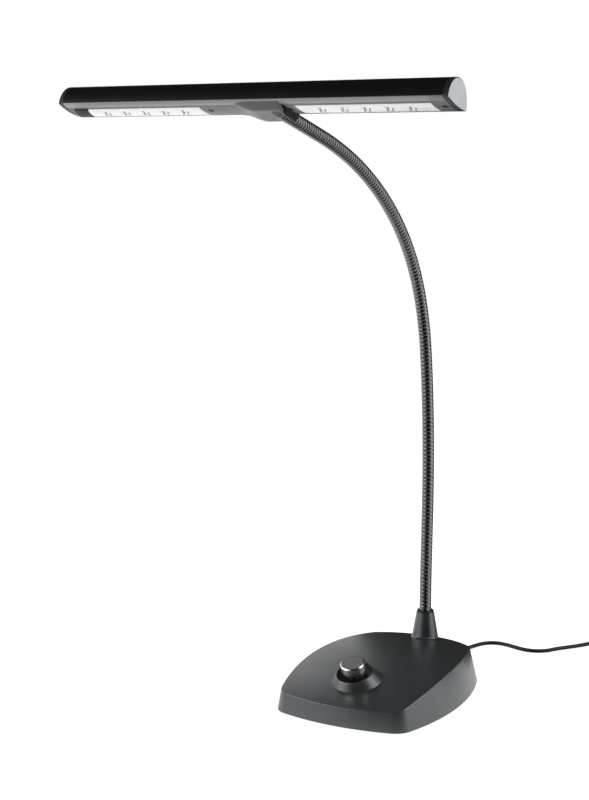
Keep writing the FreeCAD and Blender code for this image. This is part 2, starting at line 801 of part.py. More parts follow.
board_screw = turned("board_screw", [
    ("0", "%s - board_screw_length" % BOARD_TOP),
    ("board_screw_radius", "%s - board_screw_length" % BOARD_TOP), ("board_screw_radius", BOARD_TOP),
    ("board_screw_head_radius", BOARD_TOP),
    ("board_screw_head_radius", "%s + board_screw_head_height" % BOARD_TOP),
    ("0", "%s + board_screw_head_height" % BOARD_TOP)])
keep(group("board_screw_set", board_screw, BOARD_PLACES), "board_screws")


def make_board_parts():
    """Two capacitors, a wound choke and a connector standing on the board."""
    rear_y = "-board_setback - board_part_inset"
    capacitor = cylinder("capacitor", "capacitor_radius", "capacitor_height", at(z=BOARD_TOP))
    capacitors = group("capacitors", capacitor, mirrored_pairs("capacitor_x", rear_y))
    choke = primitive("Torus", "board_choke", at("0", rear_y, "%s + choke_wire_radius" % BOARD_TOP),
                      Radius1="choke_core_radius", Radius2="choke_wire_radius",
                      Angle1="-180", Angle2="180", Angle3="360")
    front_y = "-board_setback - board_depth + board_margin"
    connector = block("connector", ("-connector_width / 2", "%s - connector_depth / 2" % front_y,
                                    BOARD_TOP),
                      ("connector_width / 2", "%s + connector_depth / 2" % front_y,
                       "%s + connector_height" % BOARD_TOP))
    doc.recompute()
    parts = doc.addObject("Part::Feature", "board_parts_group")
    parts.Shape = Part.makeCompound(capacitors.Shape.Solids + [choke.Shape, connector.Shape])
    return parts


keep(make_board_parts(), "board_parts")


# ---------------------------------------------------------------------------------------------
# Cord: strain relief, the run on the table, the put-away coil and the plug-in adaptor
# ---------------------------------------------------------------------------------------------

INNER_FACE = "gland_seat_inner - gland_seat_outer"
keep(turned("gland_body", [
    ("0", "%s - gland_flange_thickness" % INNER_FACE),
    ("gland_flange_radius", "%s - gland_flange_thickness" % INNER_FACE),
    ("gland_flange_radius", INNER_FACE), ("gland_neck_radius", INNER_FACE),
    ("gland_neck_radius", "0"), ("gland_flange_radius", "0"),
    ("gland_flange_radius", "gland_flange_thickness"), ("gland_root_radius", "gland_flange_thickness"),
    ("gland_tip_radius", "gland_flange_thickness + gland_length"),
    ("0", "gland_flange_thickness + gland_length")], gland_frame), "cord_strain_relief")

TABLE_LINE = value("cord_radius")
cord_exit = gland_frame.multiply(at(z="gland_flange_thickness + gland_length")).Base

# The cord's route on the table, after its fall from the strain relief
CORD_POINTS = [
    cord_exit,
    V(0.9, 63.0, 7.6),
    V(4.6, 74.0, 4.6),
    V(10.5, 83.0, TABLE_LINE),
    V(11.0, 98.0, TABLE_LINE),
    V(16.5, 109.0, TABLE_LINE),
    V(26.0, 115.0, TABLE_LINE),
    V(38.0, 114.5, TABLE_LINE),
    V(48.5, 107.0, TABLE_LINE),
    V(60.0, 101.0, TABLE_LINE),
    V(72.5, 103.0, TABLE_LINE),
    V(81.5, 112.0, TABLE_LINE),
    V(84.5, 126.0, TABLE_LINE),
    V(90.5, 139.0, TABLE_LINE),
    V(99.5, 151.0, TABLE_LINE),
    V(109.5, 164.0, TABLE_LINE),
    V(118.5, 178.5, TABLE_LINE),
]


def rounded_path(points, straightness=0.45):
    """Straight runs joined by tangent arcs, each as large as its two runs allow."""
    edges = []
    radii = []
    length = 0.0
    start = points[0]
    for before, corner, after in zip(points, points[1:], points[2:]):
        toward = (corner - before).normalize()
        away = (after - corner).normalize()
        turn = toward.getAngle(away)
        shorter = min((corner - before).Length, (after - corner).Length)
        reach = straightness * shorter
        radius = reach / math.tan(turn / 2)
        entry = corner - toward * reach
        leave = corner + away * reach
        bulge = (away - toward).normalize()
        middle = corner + bulge * (radius / math.cos(turn / 2) - radius)
        edges.append(Part.LineSegment(start, entry).toShape())
        edges.append(Part.Arc(entry, middle, leave).toShape())
        length += (entry - start).Length + radius * turn
        radii.append(radius)
        start = leave
    edges.append(Part.LineSegment(start, points[-1]).toShape())
    length += (points[-1] - start).Length
    return Part.Wire(edges), radii, length


def make_cord_tube():
    path, radii, length = rounded_path(CORD_POINTS)
    first = (CORD_POINTS[1] - CORD_POINTS[0]).normalize()
    circle = Part.Circle(CORD_POINTS[0], first, value("cord_radius")).toShape()
    tube = path.makePipeShell([Part.Wire(circle)], True, True)
    solid = tube if tube.ShapeType == "Solid" else Part.Solid(tube)
    piece = doc.addObject("Part::Feature", "cord_tube_run")
    piece.Shape = solid
    print("cord radii", [round(radius, 1) for radius in radii])
    section = math.pi * value("cord_radius") ** 2
    print("cord tube length", round(length, 1), "volume ratio", round(solid.Volume / (section * length), 4))
    return piece


keep(make_cord_tube(), "cord_tube")

# The coil's frame: its turns run clockwise, and the cord comes in along their left side
coil_entry = CORD_POINTS[-1]
coil_heading = (CORD_POINTS[-1] - CORD_POINTS[-2]).normalize()
coil_side = coil_heading.cross(Z_AXIS)
outer_turn = value("coil_radius + coil_half_section - cord_radius")
coil_centre = coil_entry + coil_heading * value("coil_lead") + coil_side * outer_turn
coil_base = V(coil_centre.x, coil_centre.y, 0)
plug_side = V(1, 0, 0)
plug_heading = V(0, -1, 0)
tail_start = coil_base + plug_side * outer_turn
plug_entry = tail_start + plug_heading * value("coil_tail") + V(0, 0, TABLE_LINE)


def make_cord_coil():
    """The coil's outer form, with the short straight leads that join its turns to the cord."""
    ring = turned("coil_ring", [
        ("coil_radius - coil_half_section", "coil_round"),
        ("coil_radius - coil_half_section + coil_round", "0"),
        ("coil_radius + coil_half_section - coil_round", "0"),
        ("coil_radius + coil_half_section", "coil_round"),
        ("coil_radius + coil_half_section", "2 * coil_half_section - coil_round"),
        ("coil_radius + coil_half_section - coil_round", "2 * coil_half_section"),
        ("coil_radius - coil_half_section + coil_round", "2 * coil_half_section"),
        ("coil_radius - coil_half_section", "2 * coil_half_section - coil_round")],
        Placement(coil_base, Rotation()))
    lead = cylinder("coil_lead_in", "cord_radius", "coil_lead",
                    Placement(coil_entry, Rotation(Z_AXIS, coil_heading)))
    tail = cylinder("coil_lead_out", "cord_radius", "coil_tail",
                    Placement(tail_start + V(0, 0, TABLE_LINE), Rotation(Z_AXIS, plug_heading)))
    return fuse("cord_coil_form", ring, lead, tail)


keep(make_cord_coil(), "cord_coil")

# The adaptor lies flat, with its cord at the back and its pins toward the front
relief_end = plug_entry + plug_heading * value("plug_relief_length")


def make_plug_body():
    case = block("plug_case", ("-plug_half_width", "-plug_length", "0"), ("plug_half_width", "0",
                                                                          "plug_height"),
                 Placement(V(relief_end.x, relief_end.y, 0), Rotation()))
    lengths = value("plug_length")

    def along(edge):
        start, end = [vertex.Point for vertex in edge.Vertexes]
        return abs(start.y - end.y) > lengths / 2

    case_rounded = rounded("plug_case_rounded", case, "plug_round", along)
    relief_place = Placement(plug_entry, Rotation(Z_AXIS, plug_heading))
    relief = primitive("Cone", "plug_relief", relief_place, Radius1="cord_radius",
                       Radius2="plug_relief_radius", Height="plug_relief_length + plug_round")
    table = block("under_table", ("-plug_half_width", "-plug_length", "-plug_height"),
                  ("plug_half_width", "plug_length", "0"),
                  Placement(V(relief_end.x, relief_end.y, 0), Rotation()))
    return cut("plug_body_cut", fuse("plug_outer", case_rounded, relief), table)


keep(make_plug_body(), "plug_body")

pin_face = relief_end + plug_heading * value("plug_length")
pin = turned("plug_pin", [
    ("0", "0"), ("pin_radius", "0"), ("pin_radius", "pin_length - pin_radius / 2"),
    ("pin_radius / 2", "pin_length"), ("0", "pin_length")])
pin_places = [Placement(pin_face + V(side * value("pin_spacing") / 2, 0, value("plug_height") / 2),
                        Rotation(Z_AXIS, plug_heading)) for side in (-1, 1)]
keep(group("plug_pin_pair", pin, pin_places), "plug_pins")


# ---------------------------------------------------------------------------------------------
# Head: frame and sections
# ---------------------------------------------------------------------------------------------

# The head's frame lies at the middle of the bar, on the line between its lower edges. X runs
# along the bar, Y across it to the back, and Z to the top of its arch.
neck_lean = -sum(value(turn) for turn in TURNS)
head_rotation = Rotation(X_AXIS, neck_lean - 90 - value("head_tilt"))
neck_in_head = V(value("neck_offset"), value("socket_reach"), -value("socket_drop"))
head_frame = Placement(neck_end.Base - head_rotation.multVec(neck_in_head), head_rotation)


def head_section(name, inset, start):
    """The bar's section with its faces moved in by the inset, in the plane across the bar."""
    half = value("head_half_width - (%s)" % inset)
    arch = value("head_arch - (%s)" % inset)
    belly = value("head_belly - (%s)" % inset)
    if arch >= half:
        curve = Part.Ellipse(V(0, 0, arch), V(0, half, 0), V(0, 0, 0))
        roof = curve.toShape(-math.pi / 2, math.pi / 2)
    else:
        curve = Part.Ellipse(V(0, half, 0), V(0, 0, arch), V(0, 0, 0))
        roof = curve.toShape(0, math.pi)
    floor = Part.Arc(V(0, -half, 0), V(0, 0, -belly), V(0, half, 0)).toShape()
    face = doc.addObject("Part::Feature", name)
    face.Shape = Part.Face(Part.Wire([roof, floor]))
    face.Placement = head_frame.multiply(at(x=start))
    return face


def along_bar(name, face, length):
    """A section drawn along the bar."""
    drawn = doc.addObject("Part::Extrusion", name)
    drawn.Base = face
    drawn.DirMode = "Custom"
    drawn.Dir = X_AXIS
    drawn.Solid = True
    drawn.setExpression("LengthFwd", bound(length))
    return drawn


def in_head(low, high, name):
    return block(name, low, high, head_frame)


def lower_corner(edge):
    """True of the bar's two long lower edges."""
    if len(edge.Vertexes) < 2:
        return False
    ends = [head_frame.inverse().multVec(vertex.Point) for vertex in edge.Vertexes]
    return abs(ends[0].x - ends[1].x) > value("cap_thickness") / 10 and abs(ends[0].z) < 0.01


HEAD_HALF = "head_length / 2"
SHELL_HALF = "head_length / 2 - cap_thickness"
bar_section = head_section("bar_section", "0", "-(%s)" % HEAD_HALF)
bar_solid = rounded("bar_solid", along_bar("bar_sharp", bar_section, "head_length"),
                    "head_corner_round", lower_corner)


def make_head_shell():
    """The arched top, with ledges for the cover and a slotted screw rib along its middle."""
    upper = in_head(("-(%s)" % SHELL_HALF, "-head_half_width * 2", "seam_height"),
                    (SHELL_HALF, "head_half_width * 2", "head_arch * 2"), "shell_upper")
    outer = common("shell_outer", bar_solid, upper)
    inner = along_bar("shell_inner", head_section("shell_inner_section", "head_wall",
                                                  "-(%s)" % HEAD_HALF), "head_length")
    above_ledge = in_head(("-(%s)" % HEAD_HALF, "-head_half_width", "seam_height + ledge_thickness"),
                          (HEAD_HALF, "head_half_width", "head_arch"), "above_ledge")
    hollow = common("shell_hollow", inner, above_ledge)
    mouth = in_head(("-(%s)" % HEAD_HALF, "-ledge_half_width", "-head_arch"),
                    (HEAD_HALF, "ledge_half_width", "head_arch / 2"), "shell_mouth")
    lower_hollow = common("shell_lower_hollow", mouth, along_bar(
        "shell_mouth_limit", head_section("shell_mouth_section", "head_wall", "-(%s)" % HEAD_HALF),
        "head_length"))
    rib = in_head(("-(%s)" % SHELL_HALF, "-rib_half_width", "rib_bottom"),
                  (SHELL_HALF, "rib_half_width", "head_arch * 2"), "rib_block")
    slot = in_head(("-(%s)" % HEAD_HALF, "-slot_half_width", "rib_bottom - head_wall"),
                   (HEAD_HALF, "slot_half_width", "slot_top"), "rib_slot")
    notch = in_head(("neck_offset - neck_radius - notch_gap", "0", "-head_arch"),
                    ("neck_offset + neck_radius + notch_gap", "head_half_width * 2",
                     "neck_radius - socket_drop + notch_gap"), "shell_notch")
    opened = cut("shell_opened", outer, hollow, lower_hollow)
    ribbed = fuse("shell_ribbed", opened, common("shell_rib", rib, outer))
    return cut("head_shell_cut", ribbed, slot, notch)


keep(make_head_shell(), "head_shell")


# ---------------------------------------------------------------------------------------------
# Head: underside cover, lenses, reflectors and LEDs
# ---------------------------------------------------------------------------------------------

def make_dish():
    """The space above the cover's thin plate, up to the seam."""
    low = value("cover_thickness - head_belly")
    half = value("ledge_half_width")
    seam = value("seam_height")
    floor = Part.Arc(V(0, -half, seam), V(0, 0, low), V(0, half, seam)).toShape()
    lid = Part.LineSegment(V(0, half, seam), V(0, -half, seam)).toShape()
    face = doc.addObject("Part::Feature", "dish_section")
    face.Shape = Part.Face(Part.Wire([floor, lid]))
    face.Placement = head_frame.multiply(at(x="-(%s)" % HEAD_HALF))
    return along_bar("cover_dish", face, "head_length")


dish = make_dish()
lower_half = in_head(("-(%s)" % SHELL_HALF, "-head_half_width * 2", "-head_arch"),
                     (SHELL_HALF, "head_half_width * 2", "seam_height"), "cover_lower")
cover_blank = cut("cover_blank", common("cover_outer", bar_solid, lower_half), dish)

SIDES = ((-1, "left"), (1, "right"))
WINDOW_OUTER = "(head_length / 2 - window_end_margin)"
REFLECTOR_OUTER = "(%s + reflector_end)" % WINDOW_OUTER
# The outer cover screws stand midway between the reflectors and the end caps
OUTER_SCREW_X = "((%s + %s) / 2)" % (REFLECTOR_OUTER, SHELL_HALF)
COVER_SCREW_X = ("-" + OUTER_SCREW_X, "-inner_screw_x", "inner_screw_x", OUTER_SCREW_X)


def side_span(side, inner, outer):
    """The two X formulas of a span on the left or right of the bar, lower one first."""
    if side > 0:
        return inner, outer
    return "-(%s)" % outer, "-(%s)" % inner


def make_bump():
    """The thicker part of the cover's underside, under the neck's end."""
    body = doc.addObject("PartDesign::Body", "bump")
    top = "seam_height - cover_thickness"
    sketch = polygon_sketch(body, "bump_profile", "XZ_Plane", [
        ("-bump_left", top), ("bump_left_flat", "-bump_bottom"), ("bump_right_flat", "-bump_bottom"),
        ("bump_right", top)])
    pad = body.newObject("PartDesign::Pad", "bump_pad")
    pad.Profile = sketch
    pad.setExpression("Length", bound("bump_front + bump_back"))
    pad.Reversed = True
    body.Placement = head_frame.multiply(at(y="-bump_front"))
    return body


def make_cover():
    screw_bottom = "-head_belly"
    posts = [cylinder("cover_post_%d" % number, "cover_post_radius", "rib_bottom + head_belly / 2",
                      head_frame.multiply(at(x=x, z="-head_belly / 2")))
             for number, x in enumerate(COVER_SCREW_X)]
    solid = fuse("cover_solid", cover_blank, make_bump(), *posts)
    tools = []
    for number, x in enumerate(COVER_SCREW_X):
        foot = head_frame.multiply(at(x=x, z=screw_bottom))
        tools.append(cylinder("cover_screw_hole_%d" % number, "cover_screw_radius + screw_hole_gap",
                              "head_arch", foot))
        tools.append(cylinder("cover_screw_sink_%d" % number,
                              "cover_screw_head_radius + screw_hole_gap",
                              "2 * cover_screw_sink",
                              foot.multiply(at(z="-cover_screw_sink"))))
    for side, word in SIDES:
        low, high = side_span(side, "window_inner", WINDOW_OUTER)
        tools.append(in_head((low, "-window_half_width", "-head_arch"),
                             (high, "window_half_width", "head_arch"), "window_" + word))
    tools.append(in_head(("neck_offset - neck_radius - notch_gap", "0", "-head_arch"),
                         ("neck_offset + neck_radius + notch_gap", "head_half_width * 2",
                          "head_arch"), "cover_notch"))
    tools.append(in_head(("neck_offset - neck_radius", "-tongue_length - saddle_gap",
                          "bump_wall - bump_bottom"),
                         ("neck_offset + neck_radius", "window_gap", "head_arch"), "tongue_pocket"))
    return cut("cover_cut", solid, *tools)


keep(make_cover(), "underside_cover")

cover_screw = turned("cover_screw", [
    ("0", "cover_screw_sink - head_belly - cover_screw_head_height"),
    ("cover_screw_head_radius", "cover_screw_sink - head_belly - cover_screw_head_height"),
    ("cover_screw_head_radius", "cover_screw_sink - head_belly"),
    ("cover_screw_radius", "cover_screw_sink - head_belly"),
    ("cover_screw_radius", "cover_screw_top"), ("0", "cover_screw_top")])
keep(group("cover_screw_set", cover_screw, [head_frame.multiply(at(x=x)) for x in COVER_SCREW_X]),
     "cover_screws")


def make_lens(side, word):
    """A clear strip that fills a window and rests on the plate around it."""
    low, high = side_span(side, "window_inner + window_gap", WINDOW_OUTER + " - window_gap")
    inset = "window_half_width - window_gap"
    strip = common("lens_strip_" + word, cover_blank, in_head(
        (low, "-(%s)" % inset, "-head_arch"), (high, inset, "head_arch"), "lens_strip_box_" + word))
    low, high = side_span(side, "window_inner - lens_flange", WINDOW_OUTER + " + lens_flange")
    reach = "window_half_width + lens_flange"
    flange = common("lens_flange_" + word, dish, in_head(
        (low, "-(%s)" % reach, "-head_arch"), (high, reach, "head_arch"), "lens_flange_box_" + word))
    return fuse("lens_form_" + word, strip, flange)


CELL_PITCH = "((%s - window_inner) / cell_count)" % WINDOW_OUTER


def cell_middles(side):
    """The X formulas of the middles of the light cells on one side."""
    middles = []
    for number in range(int(value("cell_count"))):
        middles.append("%d * (window_inner + (%d + 1 / 2) * %s)" % (side, number, CELL_PITCH))
    return middles


def make_reflector(side, word):
    """A block with a tapered light cell over each LED."""
    low, high = side_span(side, "window_inner - reflector_end", REFLECTOR_OUTER)
    solid = in_head((low, "-reflector_half_width", "seam_height"),
                    (high, "reflector_half_width", "reflector_top"), "reflector_block_" + word)
    cells = []
    for number, middle in enumerate(cell_middles(side)):
        half_x = "%s / 2 - cell_wall" % CELL_PITCH
        half_y = "window_half_width - cell_wall / 2"
        place = head_frame.multiply(at(x=middle, z="seam_height", rotation=Rotation(X_AXIS, 90)))
        cell = primitive("Wedge", "cell_%s_%d" % (word, number), place,
                         Xmin="-(%s)" % half_x, Xmax=half_x, Ymin="0",
                         Ymax="reflector_top - seam_height", Zmin="-(%s)" % half_y, Zmax=half_y,
                         X2min="-cell_top_size / 2", X2max="cell_top_size / 2",
                         Z2min="-cell_top_size / 2", Z2max="cell_top_size / 2")
        cells.append(cell)
    under = "reflector_top - reflector_tab"
    for end, (tab_low, tab_high) in enumerate((
            side_span(side, "window_inner - reflector_end", "window_inner - cell_wall"),
            side_span(side, WINDOW_OUTER + " + cell_wall", REFLECTOR_OUTER))):
        cells.append(in_head((tab_low, "-reflector_half_width", "0"),
                             (tab_high, "reflector_half_width", under), "tab_%s_%d" % (word, end)))
    for end, x in enumerate(led_screw_x(side)):
        cells.append(cylinder("tab_hole_%s_%d" % (word, end), "led_screw_radius + screw_hole_gap",
                              "head_arch", head_frame.multiply(at(x=x))))
    return cut("reflector_cut_" + word, solid, *cells)


def led_screw_x(side):
    """The X formulas of the two screws that hold one reflector and its LED board."""
    return ["%d * (window_inner - led_screw_inset)" % side,
            "%d * (%s + led_screw_inset)" % (side, WINDOW_OUTER)]


def make_led_board(side, word):
    low, high = side_span(side, "window_inner - reflector_end", REFLECTOR_OUTER)
    solid = in_head((low, "-reflector_half_width", "reflector_top"),
                    (high, "reflector_half_width", "rib_bottom"), "led_board_block_" + word)
    holes = [cylinder("led_board_hole_%s_%d" % (word, end), "led_screw_radius + screw_hole_gap",
                      "head_arch", head_frame.multiply(at(x=x)))
             for end, x in enumerate(led_screw_x(side))]
    return cut("led_board_cut_" + word, solid, *holes)


led_chip = block("led_chip", ("-led_size / 2", "-led_size / 2", "reflector_top - led_height"),
                 ("led_size / 2", "led_size / 2", "reflector_top"))
led_screw = turned("led_screw", [
    ("0", "reflector_top - reflector_tab - led_screw_head_height"),
    ("led_screw_head_radius", "reflector_top - reflector_tab - led_screw_head_height"),
    ("led_screw_head_radius", "reflector_top - reflector_tab"),
    ("led_screw_radius", "reflector_top - reflector_tab"),
    ("led_screw_radius", "led_screw_top"), ("0", "led_screw_top")])

for side, word in SIDES:
    keep(make_lens(side, word), "lens_" + word)
    keep(make_reflector(side, word), "reflector_" + word)
    keep(make_led_board(side, word), "led_board_" + word)
    keep(group("led_chip_row_" + word, led_chip,
               [head_frame.multiply(at(x=middle)) for middle in cell_middles(side)]),
         "led_chips_" + word)
keep(group("led_screw_set", led_screw, [head_frame.multiply(at(x=x)) for side, word in SIDES
                                        for x in led_screw_x(side)]), "led_board_screws")


# ---------------------------------------------------------------------------------------------
# Head: neck ferrule, its saddle and screw
# ---------------------------------------------------------------------------------------------

def make_head_ferrule():
    """A plain tube with the last cup, flattened at its inner end to a tongue with a screw hole."""
    tube = cylinder("head_ferrule_tube", "neck_radius", "head_ferrule_length", neck_end)
    tongue = in_head(("neck_offset - tongue_half_width", "-tongue_length", "-tongue_bottom"),
                     ("neck_offset + tongue_half_width", "tongue_root", "tongue_top"), "tongue")
    cup = primitive("Sphere", "head_ferrule_cup", neck_end, Radius="neck_radius + ball_gap")
    bore = cylinder("head_ferrule_bore", "neck_bore_radius",
                    "head_ferrule_length - tongue_root - tongue_bottom", neck_end)
    hole = cylinder("tongue_hole", "cover_screw_radius + screw_hole_gap", "2 * head_arch",
                    head_frame.multiply(at(x="neck_offset", z="-head_arch")))
    return cut("head_ferrule_cut", fuse("head_ferrule_outer", tube, tongue), cup, bore, hole)


keep(make_head_ferrule(), "head_ferrule")

saddle_block = in_head(("neck_offset - saddle_half_width", "-tongue_length", "tongue_top"),
                       ("neck_offset + saddle_half_width", "socket_reach - head_ferrule_length - saddle_gap",
                        "rib_bottom"), "saddle_block")
saddle_hole = cylinder("saddle_hole", "cover_screw_radius + screw_hole_gap", "head_arch",
                       head_frame.multiply(at(x="neck_offset")))
keep(cut("saddle_cut", saddle_block, saddle_hole), "ferrule_saddle")

keep(turned("ferrule_screw_body", [
    ("0", "-tongue_bottom - cover_screw_head_height"),
    ("cover_screw_head_radius", "-tongue_bottom - cover_screw_head_height"),
    ("cover_screw_head_radius", "-tongue_bottom"), ("cover_screw_radius", "-tongue_bottom"),
    ("cover_screw_radius", "cover_screw_top"), ("0", "cover_screw_top")],
    head_frame.multiply(at(x="neck_offset"))), "ferrule_screw")


# ---------------------------------------------------------------------------------------------
# Head: end caps
# ---------------------------------------------------------------------------------------------

def make_end_cap(side, word):
    """A cap with a rim round its inlay and two tangs inside the shell."""
    low, high = side_span(side, SHELL_HALF, HEAD_HALF)
    slab = in_head((low, "-head_half_width * 2", "-head_arch"),
                   (high, "head_half_width * 2", "head_arch * 2"), "cap_slab_" + word)
    blank = common("cap_blank_" + word, bar_solid, slab)
    face_x = side * value(HEAD_HALF)

    def outer_rim(edge):
        points = [head_frame.inverse().multVec(vertex.Point) for vertex in edge.Vertexes]
        return all(abs(point.x - face_x) < 0.01 for point in points)

    solid = rounded("cap_rounded_" + word, blank, "cap_round", outer_rim)
    tangs = []
    for number, (inner, outer) in enumerate((("tang_inner", "tang_outer"), ("-tang_outer", "-tang_inner"))):
        x_low, x_high = side_span(side, "%s - tang_length" % SHELL_HALF, SHELL_HALF)
        tangs.append(in_head((x_low, inner, "tang_bottom"), (x_high, outer, "tang_top"),
                             "tang_%s_%d" % (word, number)))
    recess_low, recess_high = side_span(side, "%s - inlay_thickness" % HEAD_HALF, HEAD_HALF)
    recess = along_bar("cap_recess_" + word, head_section(
        "cap_recess_section_" + word, "cap_rim", recess_low), "inlay_thickness")
    turn = Rotation(Y_AXIS, 90)
    hole = cylinder("cap_hole_" + word, "cap_screw_radius + screw_hole_gap", "2 * cap_thickness",
                    head_frame.multiply(at(x="%d * (%s) - cap_thickness" % (side, SHELL_HALF),
                                           z="cap_screw_height", rotation=turn)))
    sink_low, sink_high = side_span(side, "%s - inlay_thickness - cap_screw_head_height" % HEAD_HALF,
                                    HEAD_HALF)
    sink = cylinder("cap_sink_" + word, "cap_screw_head_radius + screw_hole_gap",
                    "inlay_thickness + cap_screw_head_height",
                    head_frame.multiply(at(x=sink_low, z="cap_screw_height", rotation=turn)))
    return cut("cap_cut_" + word, fuse("cap_outer_" + word, solid, *tangs), recess, hole, sink)


def make_inlay(side, word):
    low, high = side_span(side, "%s - inlay_thickness" % HEAD_HALF, HEAD_HALF)
    return along_bar("inlay_form_" + word, head_section(
        "inlay_section_" + word, "cap_rim + inlay_gap", low), "inlay_thickness")


for side, word in SIDES:
    keep(make_end_cap(side, word), "end_cap_" + word)
    keep(make_inlay(side, word), "cap_inlay_" + word)

cap_screw = turned("cap_screw", [
    ("0", "0"), ("cap_screw_head_radius", "0"), ("cap_screw_head_radius", "-cap_screw_head_height"),
    ("cap_screw_radius", "-cap_screw_head_height"),
    ("cap_screw_radius", "-cap_screw_head_height - cap_screw_length"),
    ("0", "-cap_screw_head_height - cap_screw_length")])
cap_screw_places = [
    head_frame.multiply(at(x="%d * (%s - inlay_thickness)" % (side, HEAD_HALF), z="cap_screw_height",
                           rotation=Rotation(Y_AXIS, 90 * side))) for side, word in SIDES]
keep(group("cap_screw_pair", cap_screw, cap_screw_places), "cap_screws")


# ---------------------------------------------------------------------------------------------
# Check and write
# ---------------------------------------------------------------------------------------------

doc.recompute()
faults = [thing.Name for thing in doc.Objects if "Invalid" in thing.State or "Error" in thing.State]
faults += [node.Label for node in NODES if node.Shape.isNull() or not node.Shape.isValid()]
if faults:
    raise RuntimeError("these objects failed: " + ", ".join(faults))

os.makedirs("parts", exist_ok=True)
for node in NODES:
    node.Shape.exportStep("parts/%s.step" % node.Label)
    print(node.Label, len(node.Shape.Solids), round(node.Shape.Volume / 1000, 2), "cm3")
print(len(NODES), "nodes")
for number, joint in enumerate(neck_frames):
    print("neck joint", number, [round(length, 3) for length in joint.Base],
          "lean", round(-joint.Rotation.toEuler()[2], 3))
print("knob", [round(length, 3) for length in knob_frame.Base], "lean", round(knob_lean, 3))
print("head", [round(length, 3) for length in head_frame.Base])
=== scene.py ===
import math

import bmesh
import bpy
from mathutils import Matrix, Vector


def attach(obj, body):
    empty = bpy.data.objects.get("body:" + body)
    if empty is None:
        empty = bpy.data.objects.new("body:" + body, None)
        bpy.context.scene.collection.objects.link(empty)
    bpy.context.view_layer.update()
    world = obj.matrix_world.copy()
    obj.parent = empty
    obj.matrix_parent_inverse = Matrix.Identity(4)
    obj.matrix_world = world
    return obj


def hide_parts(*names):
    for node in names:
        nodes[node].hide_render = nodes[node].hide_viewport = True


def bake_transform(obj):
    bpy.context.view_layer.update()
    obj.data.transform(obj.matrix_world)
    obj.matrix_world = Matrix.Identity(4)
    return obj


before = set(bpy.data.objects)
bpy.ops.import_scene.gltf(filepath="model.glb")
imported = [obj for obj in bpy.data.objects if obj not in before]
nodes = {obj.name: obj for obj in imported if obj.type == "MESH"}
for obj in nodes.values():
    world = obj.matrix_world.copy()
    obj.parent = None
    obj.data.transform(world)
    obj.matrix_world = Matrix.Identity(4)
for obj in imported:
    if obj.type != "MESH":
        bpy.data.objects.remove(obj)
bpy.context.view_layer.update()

# The dressed piano lamp: metres, +Z up, the origin on the table under the neck. The cord and the
# studio are written in metres, and the neck and the head in millimetres, which MM turns to metres.
MM = 0.001
scene = bpy.context.scene


# ---------------------------------------------------------------------------------------------
# Camera, at the photograph's angle
# ---------------------------------------------------------------------------------------------

CAMERA_PLACE = Vector((0.6829, -1.4332, 0.5026))
CAMERA_AZIMUTH = math.radians(30.15)
CAMERA_PITCH = math.radians(8.32)
CAMERA_SENSOR = 36.0
CAMERA_LENS = 74.14

camera_data = bpy.data.cameras.new("camera")
camera_data.sensor_width = CAMERA_SENSOR
camera_data.lens = CAMERA_LENS
camera = bpy.data.objects.new("camera", camera_data)
scene.collection.objects.link(camera)
camera.location = CAMERA_PLACE
camera.rotation_euler = (math.pi / 2 - CAMERA_PITCH, 0.0, CAMERA_AZIMUTH)
scene.camera = camera


# ---------------------------------------------------------------------------------------------
# Small helpers
# ---------------------------------------------------------------------------------------------

def add_object(name, data, body, material=None):
    """An object of the given data, on a body and a material."""
    piece = bpy.data.objects.new(name, data)
    scene.collection.objects.link(piece)
    if body is not None:
        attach(piece, body)
    if material is not None:
        data.materials.append(material)
    return piece


def mesh_from(vertices, faces, name, smooth=True, merge=None):
    """A mesh of points and faces, with its normals outward."""
    mesh = bpy.data.meshes.new(name)
    mesh.from_pydata([tuple(v) for v in vertices], [], faces)
    work = bmesh.new()
    work.from_mesh(mesh)
    if merge is not None:
        bmesh.ops.remove_doubles(work, verts=work.verts, dist=merge)
    bmesh.ops.recalc_face_normals(work, faces=work.faces)
    work.to_mesh(mesh)
    work.free()
    for polygon in mesh.polygons:
        polygon.use_smooth = smooth
    return mesh


def grid_faces(rows, columns):
    """The faces of a grid of points that were made row after row."""
    return [(row * columns + column, row * columns + column + 1,
             (row + 1) * columns + column + 1, (row + 1) * columns + column)
            for row in range(rows - 1) for column in range(columns - 1)]


def eased(share):
    """A share held within 0 to 1, with a soft start and end."""
    share = min(max(share, 0.0), 1.0)
    return share * share * (3.0 - 2.0 * share)


def spread(ends, shares):
    """The numbers at the given shares of the way between two ends."""
    return [ends[0] + (ends[1] - ends[0]) * share for share in shares]


# ---------------------------------------------------------------------------------------------
# Materials, kept by the name of their record slot
# ---------------------------------------------------------------------------------------------

MATERIALS = {}
NOISE_LOW = 0.3
NOISE_HIGH = 0.7


